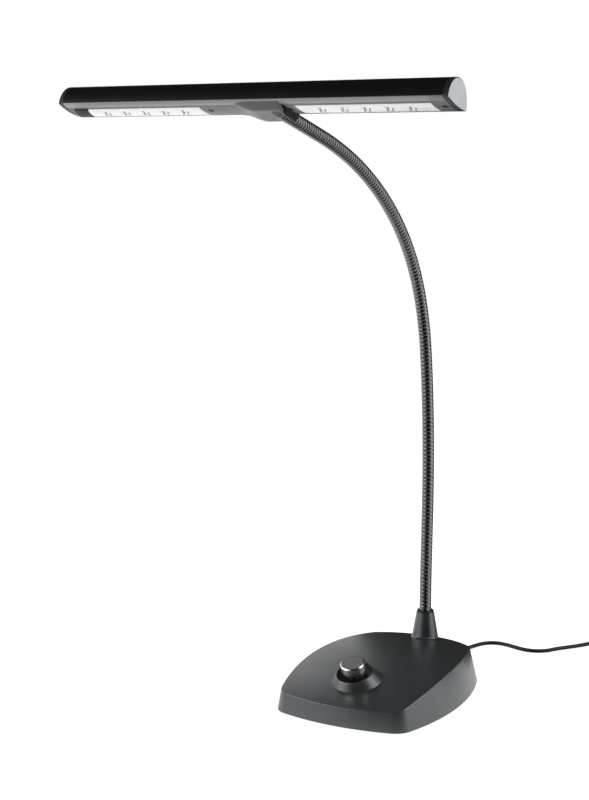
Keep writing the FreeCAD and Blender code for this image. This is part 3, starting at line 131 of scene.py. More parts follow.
class Surface:
    """A material whose nodes are added one after another, in object coordinates (metres)."""

    def __init__(self, name, color, roughness, metallic=0.0, **sockets):
        material = bpy.data.materials.new(name)
        material.use_nodes = True
        self.tree = material.node_tree
        self.shader = self.tree.nodes["Principled BSDF"]
        self.shader.inputs["Base Color"].default_value = (*color, 1.0)
        self.shader.inputs["Roughness"].default_value = roughness
        self.shader.inputs["Metallic"].default_value = metallic
        for socket, number in sockets.items():
            self.shader.inputs[socket.replace("_", " ")].default_value = number
        self.color = color
        self.place = self.node("ShaderNodeTexCoord").outputs["Object"]
        self.normal = None
        MATERIALS[name] = material

    def node(self, kind, **properties):
        made = self.tree.nodes.new(kind)
        for key, setting in properties.items():
            setattr(made, key, setting)
        return made

    def link(self, source, target):
        self.tree.links.new(source, target)

    def stretched(self, factors):
        """The coordinates scaled along X, Y and Z."""
        mapping = self.node("ShaderNodeMapping")
        mapping.inputs["Scale"].default_value = factors
        self.link(self.place, mapping.inputs["Vector"])
        return mapping.outputs["Vector"]

    def noise(self, grains, detail=2.0, roughness=0.5, vector=None):
        """Noise of so many grains to the metre."""
        made = self.node("ShaderNodeTexNoise")
        made.inputs["Scale"].default_value = grains
        made.inputs["Detail"].default_value = detail
        made.inputs["Roughness"].default_value = roughness
        self.link(vector if vector is not None else self.place, made.inputs["Vector"])
        return made.outputs["Fac"]

    def combined(self, operation, first, second):
        """Two values, or a value and a number, put together."""
        made = self.node("ShaderNodeMath", operation=operation)
        for index, item in enumerate((first, second)):
            if isinstance(item, (int, float)):
                made.inputs[index].default_value = item
            else:
                self.link(item, made.inputs[index])
        return made.outputs["Value"]

    def vary_color(self, source, low, high):
        """The base colour times low to high, with the source."""
        ramp = self.node("ShaderNodeValToRGB")
        ramp.color_ramp.elements[0].position = NOISE_LOW
        ramp.color_ramp.elements[1].position = NOISE_HIGH
        for element, factor in zip(ramp.color_ramp.elements, (low, high)):
            element.color = (*[min(channel * factor, 1.0) for channel in self.color], 1.0)
        self.link(source, ramp.inputs["Fac"])
        self.link(ramp.outputs["Color"], self.shader.inputs["Base Color"])

    def vary_roughness(self, source, low, high):
        """The roughness from low to high, with the source."""
        made = self.node("ShaderNodeMapRange")
        made.inputs["From Min"].default_value = NOISE_LOW
        made.inputs["From Max"].default_value = NOISE_HIGH
        made.inputs["To Min"].default_value = low
        made.inputs["To Max"].default_value = high
        self.link(source, made.inputs["Value"])
        self.link(made.outputs["Result"], self.shader.inputs["Roughness"])

    def bump(self, source, height, strength):
        """Relief of so many metres, laid over what is there."""
        made = self.node("ShaderNodeBump")
        made.inputs["Strength"].default_value = strength
        made.inputs["Distance"].default_value = height
        self.link(source, made.inputs["Height"])
        if self.normal is not None:
            self.link(self.normal, made.inputs["Normal"])
        self.normal = made.outputs["Normal"]
        self.link(self.normal, self.shader.inputs["Normal"])

    def soft_edges(self, radius):
        """Edges that catch the light as if rounded."""
        made = self.node("ShaderNodeBevel", samples=4)
        made.inputs["Radius"].default_value = radius
        self.normal = made.outputs["Normal"]
        self.link(self.normal, self.shader.inputs["Normal"])


def powder_coat(name, color, roughness):
    """A satin powder coat: a fine pebbled skin over a slow change of gloss."""
    coat = Surface(name, color, roughness, Specular_IOR_Level=1.0,
                   Specular_Tint=(0.90, 0.97, 1.0, 1.0))
    coat.bump(coat.noise(1500.0, detail=2.0, roughness=0.55), height=0.00002, strength=0.25)
    coat.vary_roughness(coat.noise(60.0, detail=3.0, roughness=0.6),
                        roughness - 0.015, roughness + 0.02)
    coat.vary_color(coat.noise(900.0, detail=3.0, roughness=0.7), 0.95, 1.05)


def moulded_plastic(name, color, roughness, grain=2600.0, depth=0.00004):
    """Spark-textured moulded plastic."""
    plastic = Surface(name, color, roughness)
    plastic.soft_edges(radius=0.0003)
    plastic.bump(plastic.noise(grain, detail=3.0, roughness=0.6), depth, strength=0.6)
    plastic.vary_roughness(plastic.noise(90.0, detail=3.0), roughness - 0.04, roughness + 0.05)
    plastic.vary_color(plastic.noise(700.0), 0.94, 1.06)


def plated_metal(name, color, roughness, grain=(1.0, 1.0, 1.0)):
    """Plated or turned metal with faint drawn lines and smudges in its gloss."""
    metal = Surface(name, color, roughness, metallic=1.0)
    lines = metal.noise(2400.0, roughness=0.6, vector=metal.stretched(grain))
    metal.bump(lines, height=0.00001, strength=0.25)
    smudges = metal.noise(140.0, detail=4.0, roughness=0.65)
    gloss = metal.combined("ADD", metal.combined("MULTIPLY", smudges, 0.7),
                           metal.combined("MULTIPLY", lines, 0.3))
    metal.vary_roughness(gloss, roughness - 0.04, roughness + 0.07)
    metal.vary_color(smudges, 0.92, 1.06)


def rubber(name, color, roughness, grain=1800.0):
    """Soft rubber with a dry bloom."""
    skin = Surface(name, color, roughness)
    skin.bump(skin.noise(grain, detail=4.0, roughness=0.65), height=0.00005, strength=0.5)
    skin.vary_roughness(skin.noise(120.0, detail=3.0), roughness - 0.06, roughness + 0.06)
    skin.vary_color(skin.noise(260.0, detail=4.0, roughness=0.6), 0.85, 1.3)


def anodised(name, color, roughness):
    """A drawn and anodised section: faint lines along the bar."""
    metal = Surface(name, color, roughness, Specular_IOR_Level=0.18)
    lines = metal.noise(3200.0, roughness=0.6, vector=metal.stretched((0.02, 1.0, 1.0)))
    metal.bump(lines, height=0.00001, strength=0.35)
    metal.vary_roughness(metal.noise(45.0, detail=4.0, roughness=0.6),
                         roughness - 0.03, roughness + 0.05)
    metal.vary_color(lines, 0.9, 1.15)


def black_oxide(name, color, sheen=0.10):
    """Blackened steel: a dull, slightly mottled skin."""
    skin = Surface(name, color, 0.5, Specular_IOR_Level=sheen)
    skin.bump(skin.noise(1600.0, detail=3.0, roughness=0.6), height=0.00002, strength=0.5)
    skin.vary_roughness(skin.noise(220.0, detail=3.0), 0.42, 0.58)
    skin.vary_color(skin.noise(380.0, detail=4.0, roughness=0.65), 0.8, 1.3)


def cast_iron(name, color):
    """Sand-cast iron: coarse and dull."""
    metal = Surface(name, color, 0.62, metallic=0.7)
    metal.bump(metal.noise(900.0, detail=5.0, roughness=0.7), height=0.0003, strength=0.8)
    metal.vary_roughness(metal.noise(300.0, detail=3.0), 0.5, 0.75)
    metal.vary_color(metal.noise(180.0, detail=5.0, roughness=0.7), 0.6, 1.3)


def clear_acrylic(name, color):
    """Clear acrylic that lets lamps and shadows through."""
    clear = Surface(name, color, 0.06, IOR=1.49, Transmission_Weight=1.0)
    clear.bump(clear.noise(400.0), height=0.00002, strength=0.2)
    clear.vary_roughness(clear.noise(90.0, detail=3.0), 0.03, 0.09)


def frosted_acrylic(name, color, glow):
    """Frosted acrylic over bright cells, faintly lit."""
    panel = Surface(name, color, 0.28, Emission_Color=(1.0, 1.0, 1.0, 1.0),
                    Emission_Strength=glow)
    panel.bump(panel.noise(700.0, detail=3.0, roughness=0.6), height=0.00003, strength=0.5)
    panel.vary_roughness(panel.noise(160.0, detail=3.0), 0.22, 0.36)
    panel.vary_color(panel.noise(90.0, detail=3.0, roughness=0.6), 0.92, 1.06)


powder_coat("base_coat", (0.026, 0.028, 0.030), 0.32)
plated_metal("neck_steel", (0.155, 0.16, 0.165), 0.24, grain=(0.3, 0.3, 1.0))
moulded_plastic("black_plastic", (0.012, 0.012, 0.013), 0.42)
plated_metal("zinc_steel", (0.62, 0.62, 0.60), 0.38, grain=(1.0, 0.2, 1.0))
black_oxide("screw_steel", (0.016, 0.016, 0.017))
rubber("pad_rubber", (0.022, 0.022, 0.023), 0.85)
cast_iron("ballast_iron", (0.18, 0.175, 0.17))
moulded_plastic("board_laminate", (0.02, 0.13, 0.05), 0.35, grain=1200.0)
plated_metal("board_brass", (0.72, 0.55, 0.26), 0.28)
moulded_plastic("board_part_plastic", (0.03, 0.03, 0.035), 0.4)
plated_metal("knob_chrome", (0.62, 0.61, 0.58), 0.24, grain=(0.2, 0.2, 1.0))
moulded_plastic("knob_top", (0.13, 0.134, 0.138), 0.36, grain=3200.0, depth=0.00002)
rubber("cord_jacket", (0.006, 0.007, 0.011), 0.50, grain=2400.0)
moulded_plastic("plug_plastic", (0.012, 0.012, 0.013), 0.5, grain=1500.0, depth=0.0001)
plated_metal("plug_metal", (0.78, 0.76, 0.70), 0.2)
anodised("head_coat", (0.004, 0.004, 0.0045), 0.36)
moulded_plastic("cover_grey", (0.132, 0.137, 0.142), 0.42)
plated_metal("reflector_bright", (0.88, 0.89, 0.90), 0.12)
moulded_plastic("led_board_white", (0.75, 0.75, 0.75), 0.45)
moulded_plastic("led_phosphor", (0.85, 0.74, 0.28), 0.4)
plated_metal("inlay_silver", (0.40, 0.415, 0.44), 0.42, grain=(1.0, 0.1, 1.0))
clear_acrylic("lens_clear", (0.97, 0.98, 1.0))

# These four are for pieces that the scene adds.
frosted_acrylic("light_panel", (0.88, 0.89, 0.91), glow=0.17)
# The near-black trim below is painted shade, laid where the underside shows shaded gaps and
# patches.
black_oxide("painted_shade_trim", (0.010, 0.010, 0.011), sheen=0.12)
moulded_plastic("light_rib", (0.42, 0.425, 0.43), 0.4)
# The front edge's lighter grey below is a painted highlight on the bead.
moulded_plastic("cover_edge_painted_highlight", (0.31, 0.315, 0.325), 0.36)

for node in nodes.values():
    slot = node.data.materials[0].name.split(".")[0]
    for index in range(len(node.data.materials)):
        node.data.materials[index] = MATERIALS[slot]


# ---------------------------------------------------------------------------------------------
# Cord
# ---------------------------------------------------------------------------------------------

CORD_DIAMETER = 0.004
TABLE_LINE = 0.002
CORD_ROUTE = [
    (0.0, 0.0521, 0.0084),
    (0.0009, 0.0630, 0.0076),
    (0.0046, 0.0740, 0.0046),
    (0.0098, 0.0835, TABLE_LINE),
    (0.0128, 0.0972, TABLE_LINE),
    (0.0175, 0.1085, TABLE_LINE),
    (0.0260, 0.1150, TABLE_LINE),
    (0.0380, 0.1150, TABLE_LINE),
    (0.0495, 0.1110, TABLE_LINE),
    (0.0615, 0.1070, TABLE_LINE),
    (0.0735, 0.1080, TABLE_LINE),
    (0.0835, 0.1150, TABLE_LINE),
    (0.0890, 0.1260, TABLE_LINE),
    (0.0965, 0.1365, TABLE_LINE),
    (0.1050, 0.1480, TABLE_LINE),
    (0.1130, 0.1620, TABLE_LINE),
    (0.1190, 0.1775, TABLE_LINE),
    (0.1240, 0.1872, TABLE_LINE),
    (0.12886, 0.1953, TABLE_LINE),
]

# The put-away coil: some eight and a half turns through nine places, three wide and three high. A
# turn's place in the section is (steps inward, layer), and each place is one step from the last,
# so the turns pass from place to place one after another in the part of the circle between the
# cord's end and its start.
COIL_CENTRE = Vector((0.15200, 0.18125))
COIL_OUTER = 0.0272
COIL_STEP = 0.0041
COIL_START = math.radians(148.2)
COIL_PLACES = [(0, 0), (1, 0), (2, 0), (2, 1), (2, 2), (1, 2), (1, 1), (0, 1), (0, 2)]
COIL_SHIFT_STARTS = [316.0, 316.0, 278.0, 278.0, 246.0, 214.0, 182.0, 150.0]
COIL_SHIFT_SPAN = 66.0
COIL_POINTS_PER_TURN = 18


def coil_points():
    """The coil's points, clockwise seen from above, from the cord's arrival to its tail."""
    points = []
    total = 360.0 * (len(COIL_PLACES) - 1) + math.degrees(COIL_START)
    step = 360.0 / COIL_POINTS_PER_TURN
    for number in range(1, int(total / step) + 1):
        turned = number * step
        inward, layer = COIL_PLACES[0]
        for shift, start in enumerate(COIL_SHIFT_STARTS):
            share = eased((turned - 360.0 * shift - start) / COIL_SHIFT_SPAN)
            inward += share * (COIL_PLACES[shift + 1][0] - COIL_PLACES[shift][0])
            layer += share * (COIL_PLACES[shift + 1][1] - COIL_PLACES[shift][1])
        radius = COIL_OUTER - inward * COIL_STEP
        angle = COIL_START - math.radians(turned)
        points.append((COIL_CENTRE.x + radius * math.cos(angle),
                       COIL_CENTRE.y + radius * math.sin(angle),
                       TABLE_LINE + layer * COIL_STEP))
    return points


CORD_TAIL = [
    (0.1792, 0.1740, 0.0098),
    (0.1792, 0.1660, 0.0066),
    (0.1791, 0.1580, 0.0030),
    (0.1790, 0.1510, TABLE_LINE),
    (0.1790, 0.1440, TABLE_LINE),
]

# The bevel is 1 deep, so that each point's radius is the cord's own.
cord_curve = bpy.data.curves.new("cord", "CURVE")
cord_curve.dimensions = "3D"
cord_curve.bevel_depth = 1.0
cord_curve.bevel_resolution = 4
cord_curve.resolution_u = 6
cord_curve.use_fill_caps = True
cord_spline = cord_curve.splines.new("NURBS")
cord_line = CORD_ROUTE + coil_points() + CORD_TAIL
cord_spline.points.add(len(cord_line) - 1)
for spline_point, place in zip(cord_spline.points, cord_line):
    spline_point.co = (*place, 1.0)
    spline_point.radius = CORD_DIAMETER / 2
cord_spline.order_u = 3
cord_spline.use_endpoint_u = True
cord = add_object("cord", cord_curve, "base", MATERIALS["cord_jacket"])
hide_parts("cord_tube", "cord_coil")


# ---------------------------------------------------------------------------------------------
# Gooseneck: a wound, ridged tube in one piece per joint
# ---------------------------------------------------------------------------------------------

# Each joint of the neck at rest: its Y and Z in millimetres, and its lean in degrees
NECK_JOINTS = [
    (0.0, 65.0, 0.0), (0.89, 115.99, 2.0), (2.447, 166.966, 1.5), (2.447, 217.96, -1.5),
    (-0.221, 268.884, -4.5), (-5.773, 319.573, -8.0), (-18.302, 368.906, -20.5),
    (-42.367, 413.695, -36.0), (-76.749, 451.215, -49.0), (-117.956, 481.154, -59.0),
    (-163.456, 504.088, -67.5), (-211.579, 520.893, -74.0), (-260.664, 534.737, -74.5)]
LAST_JOINT = len(NECK_JOINTS) - 1
LINK_LENGTH = 51.0
NECK_RADIUS = 5.8
NECK_PITCH = 3.85
NECK_START = -8.0
NECK_END = LINK_LENGTH * LAST_JOINT + 23.5
# The winding's outline over one pitch: (share of the pitch, depth below the crown in mm)
RIDGE = [(0.0, 0.66), (0.04, 0.36), (0.10, 0.17), (0.24, 0.05), (0.50, 0.0), (0.76, 0.05),
         (0.90, 0.17), (0.96, 0.36)]
NECK_SIDES = 32
NECK_MERGE = 1e-6
BODIES = ["base"] + ["neck_link_%02d" % link for link in range(1, LAST_JOINT + 1)] + ["head"]


def neck_frame(distance):
    """The Y, Z and lean of the neck's axis, a distance above the lowest joint."""
    index = min(max(int(distance // LINK_LENGTH), 0), LAST_JOINT)
    y, z, lean = NECK_JOINTS[index]
    along = distance - index * LINK_LENGTH
    straight = along < 0.0 or index == LAST_JOINT
    turn = 0.0 if straight else NECK_JOINTS[index + 1][2] - lean
    share = along / LINK_LENGTH
    here = math.radians(lean + turn * share)
    middle = math.radians(lean + turn * share / 2)
    half = math.radians(turn * share / 2)
    chord = along * (math.sin(half) / half if abs(half) > 1e-9 else 1.0)
    return y + chord * math.sin(middle), z + chord * math.cos(middle), here


def neck_point(distance, angle, depth):
    """A point of the winding's surface."""
    y, z, lean = neck_frame(distance)
    radius = NECK_RADIUS - depth
    across = radius * math.sin(angle)
    return Vector((radius * math.cos(angle), y + across * math.cos(lean),
                   z - across * math.sin(lean))) * MM


def neck_mesh(number):
    """The winding from mid-link to mid-link round one joint, cut along its groove."""
    middle = number * LINK_LENGTH
    low = NECK_START if number == 0 else middle - LINK_LENGTH / 2
    high = NECK_END if number == LAST_JOINT else middle + LINK_LENGTH / 2
    first = round(low / NECK_PITCH)
    last = round(high / NECK_PITCH)
    rows = [(turn + share, depth) for turn in range(first, last) for share, depth in RIDGE]
    rows.append((last, RIDGE[0][1]))
    vertices = []
    for turn, depth in rows:
        for step in range(NECK_SIDES + 1):
            angle = 2 * math.pi * step / NECK_SIDES + math.pi / 2
            distance = (turn + step / NECK_SIDES) * NECK_PITCH
            vertices.append(neck_point(distance, angle, depth))
    return mesh_from(vertices, grid_faces(len(rows), NECK_SIDES + 1), "gooseneck_%02d" % number,
                     merge=NECK_MERGE)


for number, (y, z, lean) in enumerate(NECK_JOINTS):
    piece = add_object("gooseneck_%02d" % number, neck_mesh(number), None,
                       MATERIALS["neck_steel"])
    place = Vector((0.0, y, z))
    below, above = BODIES[number], BODIES[number + 1]
    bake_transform(piece)
    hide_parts("head_ferrule" if number == LAST_JOINT else above)


# ---------------------------------------------------------------------------------------------
# Underside of the bar. Its points are (x, u, height) in millimetres from the bar's middle: along
# the bar, across it toward the back, and up, with u and height leaning as the bar does.
# ---------------------------------------------------------------------------------------------

HEAD_CENTRE = Vector((-27.1, -281.32, 543.97))
HEAD_LEAN = math.radians(-18.0)
HEAD_HALF_WIDTH = 17.8
HEAD_BELLY = 2.2
NECK_X = 27.1
RIM_RISE = 0.4
SKIN_GAP = 0.06


def head_point(x, u, height):
    """A point of the head in metres."""
    return (HEAD_CENTRE + Vector((x, u * math.cos(HEAD_LEAN) - height * math.sin(HEAD_LEAN),
                                  u * math.sin(HEAD_LEAN) + height * math.cos(HEAD_LEAN)))) * MM


def belly(u):
    """The height of the bar's bowed underside."""
    return -HEAD_BELLY * (1.0 - (u / HEAD_HALF_WIDTH) ** 2)


def sheet_mesh(name, across, along, height, kept=None):
    """A skin over the underside: heights at (x, u), with a rim that turns up into the cover."""
    rows = [along[0], *along, along[-1]]
    columns = [across[0], *across, across[-1]]
    vertices = []
    for row, u in enumerate(rows):
        for column, x in enumerate(columns):
            rim = row in (0, len(rows) - 1) or column in (0, len(columns) - 1)
            vertices.append(head_point(x, u, belly(u) + RIM_RISE if rim else height(x, u)))

    def is_kept(face):
        row, column = divmod(face[0], len(columns))
        return kept((columns[column] + columns[column + 1]) / 2, (rows[row] + rows[row + 1]) / 2)

    faces = grid_faces(len(rows), len(columns))
    if kept is not None:
        faces = [face for face in faces if is_kept(face)]
    return mesh_from(vertices, faces, name)


# Light panels: frosted windows over a row of moulded cells, with a pair of ribs between cells
PANEL_X = (45.3, 164.3)
PANEL_U = (-7.3, 11.6)
PANEL_GAP = 0.15
PANEL_RISE = 0.55
PANEL_STEPS = [0.0, 0.02, 0.05, 0.10, 0.18, 0.32, 0.5, 0.68, 0.82, 0.90, 0.95, 0.98, 1.0]
PANEL_CELLS = 6
CELL_SIZE = (PANEL_X[1] - PANEL_X[0]) / PANEL_CELLS
CELL_STEPS = [0.0, 0.02, 0.06, 0.12, 0.22, 0.5, 0.78, 0.88, 0.94, 0.98]
CELL_SQUARENESS = 8
RIB_FOOT = 0.2
RIB_TOP = 0.85
RIB_SLOPE = 0.3
# Two ribs from a cell's border: (x, u) of the front end and of the back end, and the width
RIBS = [((0.8, -2.5), (-3.2, 7.0), 2.6), ((4.6, -1.0), (1.4, 6.6), 2.2)]


def panel_height(x, u):
    """A row of shallow moulded light cells."""
    share = (abs(x) - PANEL_X[0]) / (PANEL_X[1] - PANEL_X[0]) * PANEL_CELLS
    within = abs(2.0 * (share - math.floor(min(share, PANEL_CELLS - 1e-6))) - 1.0)
    side = abs((2.0 * u - PANEL_U[0] - PANEL_U[1]) / (PANEL_U[1] - PANEL_U[0]))
    fullness = (1.0 - within ** CELL_SQUARENESS) * (1.0 - side ** CELL_SQUARENESS)
    return belly(u) - PANEL_GAP - PANEL_RISE * fullness


def ribs_mesh(name, borders):
    """The slanted ribs on a panel, at each border between two cells."""
    vertices, faces = [], []
    for border in borders:
        for (front_x, front_u), (back_x, back_u), width in RIBS:
            first = len(vertices)
            for half, inset, drop in ((width / 2, 0.0, RIB_FOOT), (width / 3, RIB_SLOPE, RIB_TOP)):
                for x, u in ((front_x - half, front_u + inset), (front_x + half, front_u + inset),
                             (back_x + half, back_u - inset), (back_x - half, back_u - inset)):
                    vertices.append(head_point(border + x, u, belly(u) - drop))
            faces.append((first + 4, first + 5, first + 6, first + 7))
            faces += [(first + a, first + b, first + b + 4, first + a + 4)
                      for a, b in ((0, 1), (1, 2), (2, 3), (3, 0))]
    return mesh_from(vertices, faces, name, smooth=False)


for side, word in ((-1, "left"), (1, "right")):
    panel_across = [side * (PANEL_X[0] + CELL_SIZE * (cell + step))
                    for cell in range(PANEL_CELLS) for step in CELL_STEPS] + [side * PANEL_X[1]]
    panel_along = spread(PANEL_U, PANEL_STEPS)
    panel = add_object("light_panel_" + word,
                       sheet_mesh("light_panel_" + word, panel_across, panel_along, panel_height),
                       "head", MATERIALS["light_panel"])
    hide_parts("lens_" + word)
    cell_borders = [side * (PANEL_X[0] + CELL_SIZE * cell) for cell in range(1, PANEL_CELLS)]
    add_object("light_ribs_" + word, ribs_mesh("light_ribs_" + word, cell_borders), "head",
               MATERIALS["light_rib"])


# The hood under the neck's end. Its slope falls along the bar from HOOD_LEFT, and its ramp falls
# back from HOOD_FRONT. A round cup over the neck is blended into it, and is left open behind.
HOOD_LEFT = -17.0
HOOD_SLOPE = 26.5
HOOD_DEPTHS = (0.3, 5.9)
HOOD_FRONT = -17.2
HOOD_RAMP = 9.6
CUP_HALF_WIDTH = 6.15
CUP_NOSE_START = 1.5
CUP_NOSE = 9.0
CUP_DEPTHS = (3.3, 5.95)
CUP_BLEND = 0.25
CUP_REACH = 4.0
OPENING_HALF_WIDTH = 6.1
OPENING_FRONT = 2.5
WALL_X = 33.2
WALL_FRONT = -6.0
HOOD_ACROSS = [HOOD_LEFT + 1.2 * step for step in range(31)] + [
    20.0, 20.95, 21.2, 21.6, 22.2, 23.2, 24.4, 25.7, 27.1, 28.5, 29.8, 31.0, 32.0, 32.6, 33.0,
    33.25, 33.9]
HOOD_ALONG = [HOOD_FRONT + 0.8 * step for step in range(24)] + [
    1.6, 2.5, 4.0, 6.0, 8.0, 10.0, 12.0, 14.0, 15.6, 16.6, 17.1]


def hood_height(x, u):
    """The swelling of the cover under the neck's end, eased into the cover on all sides."""
    swell = -HOOD_DEPTHS[0] - HOOD_DEPTHS[1] * eased((x - HOOD_LEFT) / HOOD_SLOPE)
    low = belly(u) - SKIN_GAP
    if swell < low:
        low += (swell - low) * eased((u - HOOD_FRONT) / HOOD_RAMP)
    around = 1.0 - ((x - NECK_X) / CUP_HALF_WIDTH) ** 2
    nose = 1.0 - (max(CUP_NOSE_START - u, 0.0) / CUP_NOSE) ** 2
    if around > 0.0 and nose > 0.0:
        gap = low + CUP_DEPTHS[0] + CUP_DEPTHS[1] * math.sqrt(around * nose)
        if gap > -CUP_REACH:
            low -= (gap + math.sqrt(gap * gap + CUP_BLEND)) / 2
    return low


def hood_kept(x, u):
    """Whether the hood is closed here: open round the neck, and right of the slot's wall."""
    in_opening = abs(x - NECK_X) < OPENING_HALF_WIDTH and u > OPENING_FRONT
    past_wall = x > WALL_X and u > WALL_FRONT
    return not (in_opening or past_wall)


add_object("neck_hood", sheet_mesh("neck_hood", HOOD_ACROSS, HOOD_ALONG, hood_height, hood_kept),
           "head", MATERIALS["cover_grey"])


# A dark slab at the bar's left end, painted shade where the cover's end looks dark. Its sides are
# (x at the slab's front, x per mm of u).
SHADE_SLAB_ROWS = [-7.61, -7.6, -6.0, -3.0, 0.0, 3.0, 6.0, 9.0, 10.99, 11.0]
SHADE_SLAB_FRONT = -7.6
SHADE_SLAB_SIDES = ((-172.4, -0.30), (-158.2, -0.35))
SHADE_SLAB_RISE = 0.85
SHADE_SLAB_RIM = 0.3


def shade_slab_mesh(name):
    """A thin slab of painted shade that follows the underside."""
    vertices = []
    for row, u in enumerate(SHADE_SLAB_ROWS):
        left, right = [x + slant * (u - SHADE_SLAB_FRONT) for x, slant in SHADE_SLAB_SIDES]
        face = SHADE_SLAB_RIM if row in (0, len(SHADE_SLAB_ROWS) - 1) else -SHADE_SLAB_RISE
        for x, height in ((left, SHADE_SLAB_RIM), (left, face), (right, face), (right, SHADE_SLAB_RIM)):
            vertices.append(head_point(x, u, belly(u) + height))
    return mesh_from(vertices, grid_faces(len(SHADE_SLAB_ROWS), 4), name, smooth=False)


# Painted shade at the bar's left end, in the near-black trim.
add_object("end_painted_shade", shade_slab_mesh("end_painted_shade"), "head",
           MATERIALS["painted_shade_trim"])


# A dark lip over the thin wall beside the neck's slot: painted shade for the shadowed gap there.
# Its rows are (u, share of its depth), and its section is (x, whether the point hangs at the lip's
# lower edge, its lift from there).
LIP_ROWS = [(-8.4, 0.0), (-7.0, 0.25), (-4.0, 0.7), (-1.0, 0.95), (2.0, 1.0), (6.0, 1.0),
            (10.0, 1.0), (14.0, 1.0), (17.15, 1.0)]
LIP_SECTION = [(33.22, False, 0.4), (33.22, True, 0.3), (33.5, True, 0.0), (34.1, True, 0.0),
               (34.5, True, 0.4), (36.5, False, -0.1), (36.6, False, 0.4)]
LIP_GAP = 0.08
LIP_BOTTOM = -6.62


def lip_mesh(name):
    """The painted-shade lip, run out to a point at the front."""
    vertices = []
    for u, share in LIP_ROWS:
        foot = belly(u) - LIP_GAP
        low = foot + (LIP_BOTTOM - foot) * share
        for x, hangs, lift in LIP_SECTION:
            vertices.append(head_point(x, u, low + lift * share if hangs else foot + lift))
    count = len(LIP_SECTION)
    faces = grid_faces(len(LIP_ROWS), count)
    faces.append(tuple(range(len(vertices) - count, len(vertices))))
    faces.append(tuple(range(count)))
    return mesh_from(vertices, faces, name, smooth=False)


# Painted shade in the gap beside the neck's slot.
add_object("slot_painted_shade", lip_mesh("slot_painted_shade"), "head", MATERIALS["painted_shade_trim"])


# The cover's front edge: a shallow bead, its lighter grey a painted highlight
EDGE_X = (-177.8, 177.8)
EDGE_U = (-17.5, -10.6)
EDGE_RISE = 0.42
EDGE_COLUMNS = 24
EDGE_STEPS = [0.0, 0.06, 0.16, 0.30, 0.50, 0.70, 0.84, 0.94, 1.0]


def edge_height(x, u):
    """A shallow bead along the cover's front edge."""
    share = (u - EDGE_U[0]) / (EDGE_U[1] - EDGE_U[0])
    return belly(u) - SKIN_GAP - EDGE_RISE * math.sin(math.pi * share)


edge_across = spread(EDGE_X, [column / EDGE_COLUMNS for column in range(EDGE_COLUMNS + 1)])
add_object("cover_edge_painted_highlight", sheet_mesh("cover_edge_painted_highlight", edge_across, spread(EDGE_U, EDGE_STEPS),
                                    edge_height),
           "head", MATERIALS["cover_edge_painted_highlight"])


# ---------------------------------------------------------------------------------------------
# Studio: floor, world, cards and lamps
# ---------------------------------------------------------------------------------------------

FLOOR_HALF = 12.0
FLOOR_DROP = 0.0002
FLOOR_GLOW = 0.85
FLOOR_COLOR = (0.5, 0.5, 0.5, 1.0)
FLOOR_BOUNCE_COLOR = (0.85, 0.85, 0.85, 1.0)
ROOM_LEVEL = 0.34
BACKGROUND_LEVEL = 1.0


def toward(azimuth, elevation):
    """A direction by its angle right of the camera's side of the lamp, and its elevation."""
    turned = math.radians(azimuth) - math.pi / 2 + CAMERA_AZIMUTH
    flat = math.cos(math.radians(elevation))
    return Vector((math.cos(turned) * flat, math.sin(turned) * flat,
                   math.sin(math.radians(elevation))))


def shown_rays(tree):
    """1 for the rays that see the white background: camera, glossy and transmission rays."""
    path = tree.nodes.new("ShaderNodeLightPath")
    seen = path.outputs["Is Camera Ray"]
    for kind in ("Is Glossy Ray", "Is Transmission Ray"):
        either = tree.nodes.new("ShaderNodeMath")
        either.operation = "MAXIMUM"
        tree.links.new(seen, either.inputs[0])
        tree.links.new(path.outputs[kind], either.inputs[1])
        seen = either.outputs["Value"]
    return seen


def floor_material():
    """Pale paper that shows white where light falls on it freely and keeps a soft shadow."""
    material = bpy.data.materials.new("floor")
    material.use_nodes = True
    tree = material.node_tree
    tree.nodes.clear()
    paper = tree.nodes.new("ShaderNodeBsdfDiffuse")
    paper.inputs["Color"].default_value = FLOOR_COLOR
    glow = tree.nodes.new("ShaderNodeEmission")
    glow.inputs["Strength"].default_value = FLOOR_GLOW
    both = tree.nodes.new("ShaderNodeAddShader")
    plain = tree.nodes.new("ShaderNodeBsdfDiffuse")
    plain.inputs["Color"].default_value = FLOOR_BOUNCE_COLOR
    mixed = tree.nodes.new("ShaderNodeMixShader")
    output = tree.nodes.new("ShaderNodeOutputMaterial")
    tree.links.new(paper.outputs["BSDF"], both.inputs[0])
    tree.links.new(glow.outputs["Emission"], both.inputs[1])
    tree.links.new(shown_rays(tree), mixed.inputs["Fac"])
    tree.links.new(plain.outputs["BSDF"], mixed.inputs[1])
    tree.links.new(both.outputs["Shader"], mixed.inputs[2])
    tree.links.new(mixed.outputs["Shader"], output.inputs["Surface"])
    return material


floor_corners = [(x * FLOOR_HALF, y * FLOOR_HALF, 0.0)
                 for x, y in ((-1, -1), (1, -1), (1, 1), (-1, 1))]
floor = add_object("floor", mesh_from(floor_corners, [(0, 1, 2, 3)], "floor", smooth=False), None,
                   material=floor_material())
floor.location.z = -FLOOR_DROP

world = bpy.data.worlds.new("studio")
scene.world = world
world.use_nodes = True
world_tree = world.node_tree
background = world_tree.nodes["Background"]
background.inputs["Color"].default_value = (1.0, 1.0, 1.0, 1.0)
strength = world_tree.nodes.new("ShaderNodeMix")
strength.data_type = "FLOAT"
strength.inputs["A"].default_value = ROOM_LEVEL
strength.inputs["B"].default_value = BACKGROUND_LEVEL
world_tree.links.new(shown_rays(world_tree), strength.inputs["Factor"])
world_tree.links.new(strength.outputs["Result"], background.inputs["Strength"])

CARD_CENTRE = Vector((0.0, -0.08, 0.0))
CARD_STEP = 6.0
